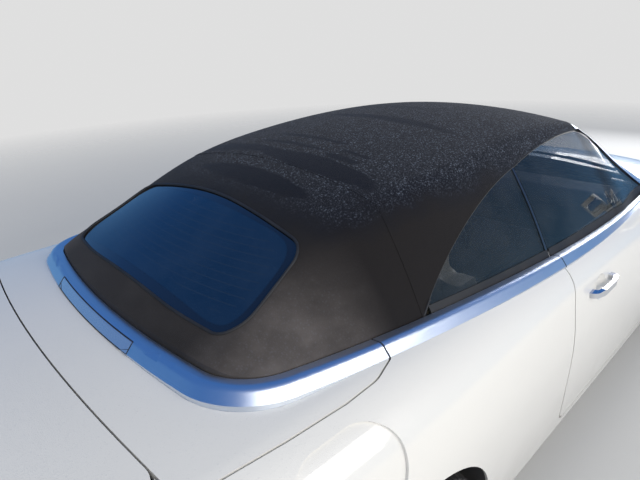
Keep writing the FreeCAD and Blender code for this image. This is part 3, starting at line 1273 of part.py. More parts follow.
def interior():
    nodes = {}
    x = COWL
    profile = [
        (x - 50, 560, 0),
        (x - 50, 852, 0),
        (x - 150, 888, 60),
        (x - 300, 878, 50),
        (x - 372, 820, 40),
        (x - 330, 700, 50),
        (x - 240, 560, 60),
    ]
    board = side_prism(profile, -POST_INNER + SEAT_GAP, POST_INNER - SEAT_GAP)
    hood = side_prism(
        [(x - 160, 850, 0), (x - 150, 900, 20), (x - 330, 908, 14), (x - 385, 880, 10), (x - 340, 830, 0)],
        DRIVER - 190,
        DRIVER + 190,
    )
    bore = Part.makeCylinder(COLUMN_RADIUS + SEAT_GAP, 400, Vector(0, 0, 0), Vector(1, 0, 0))
    bore = on_column(bore)
    nodes["dashboard"] = [fused([board, hood]).cut(bore)]
    low = TUNNEL_TOP + SEAT_GAP
    console = side_prism(
        [
            (x - 290, low, 0),
            (x - 250, 540, 20),
            (x - 340, 620, 30),
            (x - 520, 500, 80),
            (x - 900, 470, 60),
            (x - 920, 560, 40),
            (x - 1240, 560, 40),
            (x - 1240, low, 0),
        ],
        -105,
        105,
    )
    lever = Part.makeCone(22, 13, 110, Vector(x - 560, 0, 495))
    knob = Part.makeSphere(30, Vector(x - 560, 0, 610))
    nodes["console"] = [fused([console, lever, knob])]
    nodes["front_seats"] = [seat(s * DRIVER, 232, 90, 860, 1050) for s in (1, -1)]
    cushion = side_prism(
        [
            (-640, SEAT_BASE, 30),
            (-640, 400, 70),
            (-870, 365, 60),
            (-905, 840, 40),
            (BULKHEAD + SEAT_GAP, 840, 30),
            (BULKHEAD + SEAT_GAP, SEAT_BASE, 0),
        ],
        -555,
        555,
    )
    heads = [
        side_prism(
            [(-905, 820, 0), (-915, 950, 28), (-978, 950, 28), (-978, 820, 0)], s * 330 - 120, s * 330 + 120
        )
        for s in (1, -1)
    ]
    over = TUNNEL_HALF + SEAT_GAP
    tunnel = box(-FAR, FAR, -over, over, 0, TUNNEL_TOP + SEAT_GAP)
    nodes["rear_seat"] = [fused([cushion] + heads).cut(tunnel)]

    ring = Part.makeTorus(180, 15, Vector(0, 0, 0), Vector(1, 0, 0))
    boss = Part.makeCylinder(62, 52, Vector(-24, 0, 0), Vector(1, 0, 0))
    arms = [box(-8, 14, -176, 176, -22, 22), box(-8, 14, -22, 22, -176, 0)]
    column = Part.makeCylinder(COLUMN_RADIUS, 200, Vector(20, 0, 0), Vector(1, 0, 0))
    nodes["steering_wheel"] = [on_column(fused([ring, boss, column] + arms))]
    return nodes


def on_column(shape):
    """Moves a shape made about the X axis onto the steering column."""
    shape.rotate(Vector(0, 0, 0), Vector(0, 1, 0), COLUMN_TILT)
    shape.translate(WHEEL_CENTRE)
    return shape


def door_fittings(outer):
    """Door mirrors and pull handles, cut to the skin's shape."""
    nodes = {}
    clear = lowered(outer, -SEAT_GAP)
    x = DOOR_FRONT - 170
    shell = plan_prism(
        [(x - 48, 892, 30), (x - 40, MIRROR_REACH, 34), (x + 30, MIRROR_REACH - 8, 50), (x + 66, 900, 34)],
        950,
        1066,
    )
    shell = shell.common(
        side_prism([(x - 90, 950, 20), (x - 90, 1066, 30), (x + 40, 1066, 60), (x + 90, 950, 60)])
    )
    foot = plan_prism([(x - 20, 850, 10), (x - 24, 925, 10), (x + 40, 925, 20), (x + 60, 850, 20)], 840, 962)
    left = largest(fused([shell, foot]).cut(clear))
    nodes["mirror_left"] = [left]
    nodes["mirror_right"] = [flip(left)]
    x, z, a = HANDLE_X, HANDLE_Z, HANDLE_HALF
    out = HALF_WIDTH - 2
    bow = [(x - a, out - 55, 0), (x - a + 10, out - 11, 30), (x - 50, out, 120), (x + 50, out, 120)]
    bow += [
        (x + a - 10, out - 11, 30),
        (x + a, out - 55, 0),
        (x + a - 34, out - 55, 0),
        (x + a - 40, out - 21, 12),
    ]
    bow += [
        (x + 40, out - 13, 60), (x - 40, out - 13, 60), (x - a + 40, out - 21, 12), (x - a + 34, out - 55, 0)
    ]
    slim = [(x - a - 1, z - 9, 8), (x - 60, z - 13, 150), (x + 60, z - 13, 150), (x + a + 1, z - 9, 8)]
    slim += [(x + a + 1, z + 9, 8), (x + 60, z + 13, 150), (x - 60, z + 13, 150), (x - a - 1, z + 9, 8)]
    left = plan_prism(bow, z - 30, z + 30).common(side_prism(slim)).cut(outer)
    left = largest(left)
    nodes["handle_left"] = [left]
    nodes["handle_right"] = [flip(left)]
    return nodes


def main():
    os.makedirs("parts", exist_ok=True)
    outer = body_form()
    inner = body_form(PANEL_WALL)
    core = body_form(PANEL_WALL + SEAT_GAP)
    deep = body_form(LID_WALL)
    nodes = body_panels(outer, inner, core, deep)
    nodes.update(trims(belt_trim()))
    nodes.update(glasshouse(outer, nodes["cowl"][0]))
    nodes.update(structure(core, outer))
    nodes.update(wheels())
    nodes.update(chassis())
    nodes.update(interior())
    nodes.update(door_fittings(outer))
    for name, solids in nodes.items():
        shape = solids[0] if len(solids) == 1 else Part.makeCompound(solids)
        shape.exportStep("parts/%s.step" % name)


if __name__ == "__main__":
    main()
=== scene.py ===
import json
from math import pi, radians

import bpy
from mathutils import Matrix, Vector

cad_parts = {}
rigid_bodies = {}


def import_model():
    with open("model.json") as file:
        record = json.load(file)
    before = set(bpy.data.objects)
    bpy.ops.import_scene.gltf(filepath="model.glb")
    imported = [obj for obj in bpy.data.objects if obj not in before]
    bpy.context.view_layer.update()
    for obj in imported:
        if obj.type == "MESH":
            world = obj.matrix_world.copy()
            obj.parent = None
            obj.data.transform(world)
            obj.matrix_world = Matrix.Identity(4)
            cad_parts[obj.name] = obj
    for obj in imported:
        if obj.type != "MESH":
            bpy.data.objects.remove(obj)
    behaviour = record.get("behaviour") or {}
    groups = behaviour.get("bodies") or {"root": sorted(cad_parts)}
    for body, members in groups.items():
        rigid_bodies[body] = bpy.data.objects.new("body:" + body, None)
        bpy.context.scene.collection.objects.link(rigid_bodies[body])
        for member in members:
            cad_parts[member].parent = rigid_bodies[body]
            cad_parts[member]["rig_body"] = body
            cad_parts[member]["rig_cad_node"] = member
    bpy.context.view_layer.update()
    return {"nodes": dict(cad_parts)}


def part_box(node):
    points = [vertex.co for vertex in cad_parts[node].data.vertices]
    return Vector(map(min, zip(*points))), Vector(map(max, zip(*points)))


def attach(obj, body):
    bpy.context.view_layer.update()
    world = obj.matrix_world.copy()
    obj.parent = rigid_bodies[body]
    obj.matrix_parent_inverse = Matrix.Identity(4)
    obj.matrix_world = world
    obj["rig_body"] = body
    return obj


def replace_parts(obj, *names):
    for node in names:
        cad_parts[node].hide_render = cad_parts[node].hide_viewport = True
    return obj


bl_info = {
    "name": "Soft-top convertible",
    "version": (1, 0, 0),
    "blender": (4, 5, 0),
    "location": "3D View > Sidebar > Convertible",
    "description": "Dresses a four-seat soft-top convertible in paint, cloth, glass, leather and metal",
    "category": "Object",
}

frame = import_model()
NODES = frame["nodes"]
BODY_OF = {node: obj["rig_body"] for node, obj in NODES.items()}
SIDES = (("left", 1), ("right", -1))


# Picking and shaping


def object_mode():
    """Leaves edit mode, where a piece is still in it."""
    if bpy.context.object and bpy.context.object.mode != "OBJECT":
        bpy.ops.object.mode_set(mode="OBJECT")


def only(*objs):
    """Selects just these objects and makes the first one active."""
    object_mode()
    bpy.ops.object.select_all(action="DESELECT")
    for obj in objs:
        obj.select_set(True)
    bpy.context.view_layer.objects.active = objs[0]


def duplicate(obj):
    """A copy with a mesh of its own, selected and active."""
    only(obj)
    bpy.ops.object.duplicate()
    return bpy.context.active_object


def on_all(obj, operator, **values):
    """Runs a mesh operator on all of an object's points."""
    only(obj)
    bpy.ops.object.mode_set(mode="EDIT")
    bpy.ops.mesh.select_all(action="SELECT")
    operator(**values)
    bpy.ops.object.mode_set(mode="OBJECT")


def pick(obj, faces=None, points=None):
    """In edit mode, selects the faces or points for which the test is true."""
    only(obj)
    bpy.ops.object.mode_set(mode="EDIT")
    bpy.ops.mesh.select_mode(type="FACE" if faces else "VERT")
    bpy.ops.mesh.select_all(action="DESELECT")
    bpy.ops.object.mode_set(mode="OBJECT")
    mesh = obj.data
    if faces:
        for f in mesh.polygons:
            f.select = bool(faces(f))
    else:
        for v in mesh.vertices:
            v.select = bool(points(v.co))
    bpy.ops.object.mode_set(mode="EDIT")


def delete_faces(obj, test):
    """Deletes the faces for which the test is true."""
    pick(obj, faces=test)
    bpy.ops.mesh.delete(type="FACE")
    bpy.ops.object.mode_set(mode="OBJECT")


def apply(obj, kind, **values):
    """Adds a modifier with these values and applies it."""
    only(obj)
    modifier = obj.modifiers.new(kind.title(), kind)
    for key, value in values.items():
        setattr(modifier, key, value)
    bpy.ops.object.modifier_apply(modifier=modifier.name)
    return obj


def rest_at_origin(obj):
    """Moves a piece's place, turn and size into its mesh."""
    only(obj)
    bpy.ops.object.transform_apply(location=True, rotation=True, scale=True)


def finish_piece(obj, name, body, material, angle=35):
    """Names a piece, gives it its finish and sets it riding on a body; angle is its sharpest smooth edge."""
    rest_at_origin(obj)
    obj.name = name
    obj.data.name = name
    obj.data.materials.clear()
    obj.data.materials.append(material)
    only(obj)
    bpy.ops.object.shade_smooth_by_angle(angle=radians(angle))
    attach(obj, body)
    return obj


def copy_of(node, name):
    """A free copy of a CAD node with its points merged."""
    source = NODES[node]
    hidden = source.hide_viewport
    source.hide_viewport = False
    piece = duplicate(source)
    source.hide_viewport = hidden
    piece.hide_viewport = False
    piece.hide_render = False
    piece.parent = None
    piece.name = name
    del piece["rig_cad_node"]
    on_all(piece, bpy.ops.mesh.remove_doubles, threshold=0.00002)
    bpy.ops.mesh.customdata_custom_splitnormals_clear()
    return piece


def stand_in(node, name, material, angle=35):
    """The CAD node's own form, smoothly shaded, in its place."""
    piece = finish_piece(copy_of(node, name), name, BODY_OF[node], material, angle)
    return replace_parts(piece, node)


def join(objs, name):
    """Makes one piece of several."""
    only(*objs)
    bpy.ops.object.join()
    obj = bpy.context.active_object
    obj.name = name
    return obj


def twin(obj):
    """A second copy of a finished shape, mirrored to the other side of the car."""
    other = duplicate(obj)
    other.data.transform(Matrix.Scale(-1, 4, Vector((0, 1, 0))))
    on_all(other, bpy.ops.mesh.normals_make_consistent, inside=False)
    return other


def block(centre, size, bevel, segments=2):
    """A block with rounded edges."""
    bpy.ops.mesh.primitive_cube_add(size=1, location=centre)
    obj = bpy.context.active_object
    obj.scale = size
    bpy.ops.object.transform_apply(location=False, rotation=False, scale=True)
    return apply(obj, "BEVEL", width=bevel, segments=segments) if bevel else obj


def disc(centre, radius, depth, axis, vertices, bevel):
    """A thick disc with rounded edges, its axis along X or Y."""
    turn = {"X": (0, pi / 2, 0), "Y": (pi / 2, 0, 0)}[axis]
    bpy.ops.mesh.primitive_cylinder_add(
        radius=radius, depth=depth, location=centre, rotation=turn, vertices=vertices
    )
    obj = bpy.context.active_object
    return apply(obj, "BEVEL", width=bevel, segments=2, angle_limit=radians(40))


def ring(centre, major, minor, around, section):
    """A round ring whose axis lies along the car."""
    bpy.ops.mesh.primitive_torus_add(
        location=centre,
        rotation=(0, pi / 2, 0),
        major_radius=major,
        minor_radius=minor,
        major_segments=around,
        minor_segments=section,
    )
    return bpy.context.active_object


def tube(name, points, radius):
    """A round bar through these points."""
    curve = bpy.data.curves.new(name, "CURVE")
    curve.dimensions = "3D"
    curve.bevel_depth = radius
    curve.bevel_resolution = 3
    curve.use_fill_caps = True
    path = curve.splines.new("POLY")
    path.points.add(len(points) - 1)
    for point, place in zip(path.points, points):
        point.co = (*place, 1)
    obj = bpy.data.objects.new(name, curve)
    bpy.context.scene.collection.objects.link(obj)
    only(obj)
    bpy.ops.object.convert(target="MESH")
    return bpy.context.active_object


def surface_at(obj, start, direction, needed=True):
    """Place and normal where a ray meets the object's surface."""
    bpy.context.view_layer.update()
    hit, place, normal, _ = obj.ray_cast(Vector(start), Vector(direction))
    if needed and not hit:
        raise RuntimeError("no surface of %s there" % obj.name)
    return (place, normal) if hit else None


def strip_from(obj, name, tests, thickness, drop=None):
    """Cuts a band out of a surface and gives it thickness.

    Each of the tests is a plane as (point, direction to keep), and drop picks faces to leave out.
    """
    piece = duplicate(obj)
    piece.name = name
    for point, keep in tests:
        on_all(piece, bpy.ops.mesh.bisect, plane_co=point, plane_no=keep, clear_inner=True)
    if drop:
        delete_faces(piece, drop)
    return apply(piece, "SOLIDIFY", thickness=thickness, offset=1.0)


# Finishes


class Graph:
    """Short way to lay out a material's or a group's nodes."""

    def __init__(self, tree):
        self.nodes = tree.nodes
        self.links = tree.links

    def add(self, kind, values=None, **settings):
        node = self.nodes.new(kind)
        for key, value in settings.items():
            setattr(node, key, value)
        for key, value in (values or {}).items():
            self.feed(node.inputs[key], value)
        return node

    def feed(self, socket, value):
        """Links an input to another node's output, or sets it to a value."""
        if isinstance(value, bpy.types.NodeSocket):
            self.links.new(value, socket)
        else:
            socket.default_value = value

    def object_place(self, scale=(1, 1, 1)):
        place = self.add("ShaderNodeTexCoord")
        mapping = self.add("ShaderNodeMapping", {"Vector": place.outputs["Object"], "Scale": scale})
        return mapping.outputs["Vector"]

    def noise(self, vector, scale, detail=2.0, rough=0.5):
        return self.add(
            "ShaderNodeTexNoise",
            {"Vector": vector, "Scale": scale, "Detail": detail, "Roughness": rough},
        ).outputs["Fac"]

    def cells(self, vector, scale, feature="F1"):
        return self.add(
            "ShaderNodeTexVoronoi", {"Vector": vector, "Scale": scale}, feature=feature
        ).outputs["Distance"]

    def wave(self, vector, scale, direction):
        return self.add(
            "ShaderNodeTexWave", {"Vector": vector, "Scale": scale}, bands_direction=direction
        ).outputs["Fac"]

    def span(self, value, low, high, to_low=0.0, to_high=1.0):
        return self.add(
            "ShaderNodeMapRange",
            {"Value": value, "From Min": low, "From Max": high, "To Min": to_low, "To Max": to_high},
        ).outputs["Result"]

    def math(self, operation, a, b=0.0):
        return self.add("ShaderNodeMath", {0: a, 1: b}, operation=operation).outputs["Value"]

    def mix(self, factor, a, b):
        """Mixes two colours; the node's inputs 6 and 7 and its output 2 are those for colours."""
        first, second = ((*c, 1.0) if isinstance(c, tuple) else c for c in (a, b))
        return self.add("ShaderNodeMix", {0: factor, 6: first, 7: second}, data_type="RGBA").outputs[2]

    def bump(self, height, strength, distance):
        return self.add(
            "ShaderNodeBump", {"Height": height, "Strength": strength, "Distance": distance}
        ).outputs["Normal"]

    def split(self, vector):
        return self.add("ShaderNodeSeparateXYZ", {"Vector": vector}).outputs

    def group(self, tree, **values):
        return self.add("ShaderNodeGroup", values, node_tree=tree).outputs


def effect_group(name, inputs, outputs, build):
    """A shared effect as a node group: inputs are (name, kind, default), outputs (name, kind)."""
    if name in bpy.data.node_groups:
        return bpy.data.node_groups[name]
    tree = bpy.data.node_groups.new(name, "ShaderNodeTree")
    for label, kind, default in inputs:
        socket = tree.interface.new_socket(label, in_out="INPUT", socket_type=kind)
        if default is not None:
            socket.default_value = default
    for label, kind in outputs:
        tree.interface.new_socket(label, in_out="OUTPUT", socket_type=kind)
    graph = Graph(tree)
    start = graph.add("NodeGroupInput").outputs
    end = graph.add("NodeGroupOutput")
    for label, value in build(graph, start).items():
        graph.links.new(value, end.inputs[label])
    return tree


FLOAT, VECTOR = "NodeSocketFloat", "NodeSocketVector"
PLACE_AND_AMOUNT = (("Vector", VECTOR, None), ("Amount", FLOAT, 1.0))


def dew_group():
    """Fine dew: tiny beads, thick in some places and thin in others."""

    def build(g, start):
        beads = g.span(g.cells(start["Vector"], 380.0), 0.42, 0.1)
        sparse = g.span(g.cells(start["Vector"], 110.0), 0.24, 0.08)
        large = g.span(g.cells(start["Vector"], 52.0), 0.13, 0.05)
        cover = g.span(g.noise(start["Vector"], 2.2, 3.0), 0.42, 0.62)
        fine = g.math("MULTIPLY", beads, cover)
        both = g.math("MAXIMUM", fine, g.math("MAXIMUM", g.math("MULTIPLY", sparse, 0.8), large))
        return {"Beads": g.math("MULTIPLY", both, start["Amount"])}

    return effect_group("Fine dew", PLACE_AND_AMOUNT, (("Beads", FLOAT),), build)


def weave_group():
    """Crossed threads on the surface, seen from above and from the side."""

    def build(g, start):
        x, y, z = (g.split(start["Vector"])[k] for k in "XYZ")
        around = g.math("ADD", y, z)
        across = g.math("SUBTRACT", x, g.math("MULTIPLY", z, 0.5))
        place = g.add("ShaderNodeCombineXYZ", {"X": across, "Y": around}).outputs["Vector"]
        warp = g.wave(place, 260.0, "X")
        weft = g.wave(place, 260.0, "Y")
        threads = g.math("MULTIPLY", warp, weft)
        return {"Threads": g.math("MULTIPLY", threads, start["Amount"])}

    return effect_group("Woven threads", PLACE_AND_AMOUNT, (("Threads", FLOAT),), build)


def grain_group():
    """Leather or moulded grain: small rounded cells with a soft larger undulation."""

    def build(g, start):
        cells = g.cells(start["Vector"], 620.0, "SMOOTH_F1")
        fine = g.noise(start["Vector"], 900.0, 2.0)
        large = g.noise(start["Vector"], 14.0, 3.0)
        height = g.math("ADD", g.math("MULTIPLY", cells, 0.7), g.math("MULTIPLY", fine, 0.3))
        return {"Grain": g.math("MULTIPLY", height, start["Amount"]), "Wear": large}

    return effect_group("Grain", PLACE_AND_AMOUNT, (("Grain", FLOAT), ("Wear", FLOAT)), build)


def dirt_group():
    """Road film that gathers towards the ground."""

    def build(g, start):
        height = g.split(start["Vector"])["Z"]
        low = g.span(height, 0.55, 0.12)
        cloud = g.noise(start["Vector"], 9.0, 5.0, 0.6)
        film = g.math("MULTIPLY", low, g.span(cloud, 0.3, 0.75))
        return {"Film": g.math("MULTIPLY", film, start["Amount"])}

    return effect_group("Road film", PLACE_AND_AMOUNT, (("Film", FLOAT),), build)


MADE = {}


def material(name, colour, constant, build):
    """A Principled material: constants on the shader's own sockets, and build lays out what varies."""
    if name in MADE:
        return MADE[name]
    made = bpy.data.materials.new(name)
    made.use_nodes = True
    made.diffuse_color = (*colour, 1.0)
    graph = Graph(made.node_tree)
    shader = graph.nodes["Principled BSDF"]
    shader.inputs["Base Color"].default_value = (*colour, 1.0)
    for key, value in constant.items():
        shader.inputs[key].default_value = value
    for key, value in build(graph).items():
        graph.links.new(value, shader.inputs[key])
    MADE[name] = made
    return made


def paint():
    """Body paint with a light peel, road film low down and dew on the rear deck."""
    sizes = bpy.context.scene.convertible_finish

    def build(g):
        place = g.object_place()
        peel = g.noise(place, 260.0, 2.0)
        beads = g.group(dew_group(), Vector=place, Amount=1.0)["Beads"]
        high = g.span(g.split(place)["Z"], 0.72, 0.9)
        behind = g.span(g.split(place)["X"], -1.2, -1.6, 0.25, 1.0)
        beads = g.math("MULTIPLY", beads, g.math("MULTIPLY", high, behind))
        film = g.group(dirt_group(), Vector=place, Amount=sizes.road_film)["Film"]
        tone = g.noise(place, 1.3, 2.0)
        light = tuple(sizes.paint_colour)
        shade = tuple(c * 0.955 for c in light)
        clean = g.mix(g.math("MULTIPLY", beads, 0.16), g.mix(tone, light, shade), (0.55, 0.56, 0.58))
        return {
            "Base Color": g.mix(film, clean, (0.30, 0.27, 0.23)),
            "Roughness": g.span(film, 0.0, 1.0, 0.32, 0.7),
            "Normal": g.bump(g.math("ADD", g.math("MULTIPLY", peel, 0.04), beads), 0.45, 0.0007),
        }

    constant = {"Coat Weight": 1.0, "Coat Roughness": 0.04}
    return material("White body paint", tuple(sizes.paint_colour), constant, build)


# Middle, place across the car, half length and half width of each
DRY_PATCHES = (
    (-0.945, -0.20, 0.26, 0.048),
    (-0.930, 0.32, 0.28, 0.038),
    (-1.100, -0.04, 0.31, 0.042),
    (-0.850, 0.04, 0.20, 0.013),
    (-0.768, 0.01, 0.20, 0.013),
    (-0.868, -0.25, 0.075, 0.016),
    (-0.815, -0.27, 0.07, 0.010),
    (-0.420, -0.10, 0.36, 0.032),
    (-0.180, 0.12, 0.40, 0.018),
)


def fabric():
    """Woven cloth of the top: dew on the roof round the dry patches, painted shade that makes the roof top
    darker and bluer than its sides, and pale smudges beside the rear window that are partly wear and partly
    painted light, strongest on the side flanks.
    """
    sizes = bpy.context.scene.convertible_finish

    def build(g):
        place = g.object_place()
        threads = g.group(weave_group(), Vector=place, Amount=1.0)["Threads"]
        x, y, z = (g.split(place)[k] for k in "XYZ")
        drift = g.span(g.noise(place, 7.0, 3.0, 0.6), 0.3, 0.7, -0.35, 0.35)
        level = g.math("ADD", z, g.math("MULTIPLY", drift, 0.06))
        roof = g.math("MULTIPLY", g.span(x, -1.20, -1.12), g.span(level, 1.215, 1.285))

        def patch(middle, across, half_length, half_width):
            """Dry patch that the folded top left in the dew, longest across the car."""
            u = g.math("DIVIDE", g.math("SUBTRACT", x, middle), half_width)
            v = g.math("DIVIDE", g.math("SUBTRACT", y, across), half_length)
            reach = g.math("ADD", g.math("MULTIPLY", u, u), g.math("MULTIPLY", v, v))
            return g.span(g.math("ADD", reach, drift), 1.08, 0.92)

        dry = patch(*DRY_PATCHES[0])
        for values in DRY_PATCHES[1:]:
            dry = g.math("MAXIMUM", dry, patch(*values))
        field = g.math("MULTIPLY", roof, g.math("SUBTRACT", 1.0, dry))
        smudge = g.span(g.noise(g.object_place((1.4, 1.0, 2.2)), 3.2, 4.0, 0.6), 0.46, 0.66)
        flank = g.math("MULTIPLY", g.span(x, -1.12, -1.42), g.span(z, 1.27, 1.12))
        # Painted light: the pale smudges are kept strong on the side flanks and weak on the rear below the
        # window
        beside = g.span(g.math("ABSOLUTE", y), 0.42, 0.62, 0.16, 1.0)
        # worn holds pale smudges that are partly wear and partly painted light on the flanks
        worn = g.math("MULTIPLY", flank, g.span(smudge, 0.0, 1.0, 0.55, 1.0))
        worn = g.math("MULTIPLY", worn, beside)
        fine = g.span(g.cells(place, 210.0), 0.42, 0.20, 0.0, 0.6)
        bold = g.span(g.cells(g.object_place((1.1, 0.9, 1.0)), 105.0), 0.34, 0.16)
        thick = g.span(g.noise(place, 30.0, 3.0, 0.7), 0.36, 0.62, 0.4, 1.0)
        beads = g.math("MULTIPLY", g.math("MAXIMUM", fine, bold), thick)
        speck = g.math("MULTIPLY", beads, g.math("MAXIMUM", field, g.math("MULTIPLY", worn, 0.3)))
        yarn = g.noise(place, 700.0, 1.0)
        deep = tuple(sizes.fabric_colour)
        dark = tuple(c * 0.66 for c in deep)
        base = g.mix(g.math("MULTIPLY", threads, g.span(yarn, 0.3, 0.7, 0.6, 1.0)), dark, deep)
        # Painted shade: the top of the roof is made darker and bluer than its sides
        above = g.span(level, 1.17, 1.27, 0.0, 0.9)
        dull = g.mix(above, base, (0.0030, 0.0050, 0.0110))
        dull = g.mix(g.math("MULTIPLY", field, 0.35), dull, (0.0130, 0.0150, 0.0230))
        # Pale smudges, partly wear and partly painted light on the side flanks
        dull = g.mix(g.math("MULTIPLY", worn, 0.9), dull, (0.150, 0.135, 0.132))
        colour = g.mix(g.math("MULTIPLY", speck, 0.58), dull, (0.21, 0.25, 0.33))
        height = g.math("ADD", threads, g.math("MULTIPLY", speck, 0.8))
        return {
            "Base Color": colour,
            "Roughness": g.span(field, 0.0, 1.0, 0.72, 0.9),
            "Normal": g.bump(height, 0.5, 0.0005),
        }

    constant = {"Sheen Weight": 0.06, "Sheen Roughness": 0.5, "Specular IOR Level": 0.12}
    return material("Top fabric", tuple(sizes.fabric_colour), constant, build)


def satin_metal():
    """Satin bright metal of the trims, with faint lines and dew."""

    def build(g):
        place = g.object_place()
        lines = g.noise(g.object_place((1, 1, 60)), 40.0, 2.0)
        beads = g.group(dew_group(), Vector=place, Amount=0.4)["Beads"]
        cloud = g.noise(place, 6.0, 2.0)
        return {
            "Base Color": g.mix(cloud, (0.80, 0.84, 0.89), (0.73, 0.77, 0.82)),
            "Roughness": g.span(lines, 0.2, 0.8, 0.30, 0.40),
            "Normal": g.bump(g.math("ADD", g.math("MULTIPLY", lines, 0.2), beads), 0.12, 0.0004),
        }

    return material("Satin aluminium", (0.72, 0.74, 0.77), {"Metallic": 1.0}, build)


def chrome():
    """Polished bright metal with faint smears."""

    def build(g):
        place = g.object_place()
        smear = g.noise(place, 35.0, 3.0)
        return {
            "Roughness": g.span(smear, 0.3, 0.8, 0.05, 0.12),
            "Base Color": g.mix(smear, (0.82, 0.83, 0.85), (0.74, 0.75, 0.78)),
        }

    return material("Polished chrome", (0.8, 0.81, 0.83), {"Metallic": 1.0}, build)


def silvered():
    """Glass of the mirrors."""

    def build(g):
        smear = g.noise(g.object_place(), 40.0)
        return {"Roughness": g.span(smear, 0.3, 0.7, 0.02, 0.06)}

    return material("Mirror glass", (0.8, 0.82, 0.84), {"Metallic": 1.0}, build)


def plastic(name, colour, roughness, amount=0.4, film=0.0):
    """Grained moulded plastic; amount is the depth of the grain, film the dirt low on the car."""

    def build(g):
        place = g.object_place()
        grain = g.group(grain_group(), Vector=place, Amount=amount)
        dirt = g.group(dirt_group(), Vector=place, Amount=film)["Film"]
        pale = tuple(min(1.0, c * 1.35 + 0.004) for c in colour)
        worn = g.mix(g.span(grain["Wear"], 0.35, 0.7), colour, pale)
        return {
            "Base Color": g.mix(dirt, worn, (0.17, 0.155, 0.135)),
            "Roughness": g.span(grain["Wear"], 0.3, 0.7, roughness - 0.06, roughness + 0.08),
            "Normal": g.bump(grain["Grain"], 0.35, 0.0003),
        }

    return material(name, colour, {"Specular IOR Level": 0.4}, build)


def gloss_black():
    """Shiny black moulding."""

    def build(g):
        smear = g.noise(g.object_place(), 24.0, 3.0)
        return {
            "Roughness": g.span(smear, 0.3, 0.8, 0.08, 0.2),
            "Base Color": g.mix(smear, (0.012, 0.012, 0.014), (0.02, 0.02, 0.022)),
        }

    return material("Gloss black", (0.012, 0.012, 0.014), {"Coat Weight": 0.6, "Coat Roughness": 0.05}, build)


def rubber():
    """Dull black rubber of seals and beads."""
    return plastic("Seal rubber", (0.018, 0.018, 0.019), 0.62, 0.3)


def leather(name, colour):
    """Grained leather with creases darkened by painted shade, and worn high places."""

    def build(g):
        place = g.object_place()
        grain = g.group(grain_group(), Vector=place, Amount=1.0)
        crease_and_painted_shade = g.noise(place, 26.0, 4.0, 0.6)
        worn = tuple(min(1.0, c * 1.12) for c in colour)
        dark = tuple(c * 0.8 for c in colour)
        tone = g.mix(g.span(grain["Wear"], 0.35, 0.65), dark, worn)
        return {
            # Painted shade: the colour is darkened along the creases
            "Base Color": g.mix(g.span(crease_and_painted_shade, 0.62, 0.75), tone, tuple(c * 0.62 for c in colour)),
            "Roughness": g.span(grain["Wear"], 0.3, 0.7, 0.38, 0.52),
            "Normal": g.bump(g.math("ADD", grain["Grain"], g.math("MULTIPLY", crease_and_painted_shade, 0.8)), 0.4, 0.0006),
        }

    return material(name, colour, {"Coat Weight": 0.08, "Coat Roughness": 0.4}, build)


def glass(name, colour, alpha):
    """Tinted glass as a thin see-through skin."""

    def build(g):
        place = g.object_place()
        beads = g.group(dew_group(), Vector=place, Amount=0.6)
        film = g.span(g.noise(place, 7.0, 4.0, 0.6), 0.35, 0.7, 0.0, 0.05)
        haze = g.math("MAXIMUM", film, g.math("MULTIPLY", beads["Beads"], 0.5))
        return {
            "Base Color": g.mix(haze, colour, (0.42, 0.43, 0.44)),
            "Alpha": g.span(haze, 0.0, 1.0, alpha, 1.0),
            "Normal": g.bump(beads["Beads"], 0.1, 0.0004),
        }

    constant = {"Roughness": 0.03, "IOR": 1.5, "Coat Weight": 0.3, "Coat Roughness": 0.01}
    made = material(name, colour, constant, build)
    made.surface_render_method = "BLENDED"
    return made


def lens(name, colour, alpha, ribs=True):
    """Moulded lamp lens, ribbed inside or plain."""

    def build(g):
        place = g.object_place()
        fine = g.wave(place, 70.0, "Z") if ribs else g.noise(place, 60.0)
        tint = g.mix(g.span(fine, 0.2, 0.8), colour, tuple(c * 0.55 for c in colour))
        return {"Base Color": tint, "Normal": g.bump(fine, 0.08, 0.0006)}

    constant = {"Roughness": 0.05, "Coat Weight": 1.0, "Coat Roughness": 0.02, "Alpha": alpha, "IOR": 1.49}
    made = material(name, colour, constant, build)
    if alpha < 1:
        made.surface_render_method = "BLENDED"
    return made


def cast_metal(name, colour, roughness=0.55):
    """Rough metal of the running gear, dirty low down."""

    def build(g):
        place = g.object_place()
        pits = g.noise(place, 160.0, 4.0, 0.6)
        cloud = g.noise(place, 8.0, 4.0)
        dirt = g.group(dirt_group(), Vector=place, Amount=0.8)["Film"]
        base = g.mix(g.span(cloud, 0.35, 0.7), colour, tuple(c * 0.62 for c in colour))
        return {
            "Base Color": g.mix(dirt, base, (0.12, 0.10, 0.085)),
            "Roughness": g.span(cloud, 0.3, 0.7, roughness - 0.1, roughness + 0.12),
            "Normal": g.bump(pits, 0.4, 0.0005),
        }

    return material(name, colour, {"Metallic": 0.85}, build)


def wheel_silver():
    """Silver wheel paint under brake dust."""

    def build(g):
        place = g.object_place()
        flake = g.noise(place, 900.0, 1.0)
        dust = g.span(g.noise(place, 16.0, 4.0, 0.6), 0.4, 0.75, 0.0, 0.4)
        silver = g.mix(flake, (0.56, 0.57, 0.59), (0.66, 0.67, 0.69))
        return {
            "Base Color": g.mix(dust, silver, (0.15, 0.13, 0.11)),
            "Roughness": g.span(dust, 0.0, 0.4, 0.3, 0.5),
        }

    constant = {"Metallic": 0.75, "Coat Weight": 0.6, "Coat Roughness": 0.1}
    return material("Wheel silver", (0.6, 0.61, 0.63), constant, build)


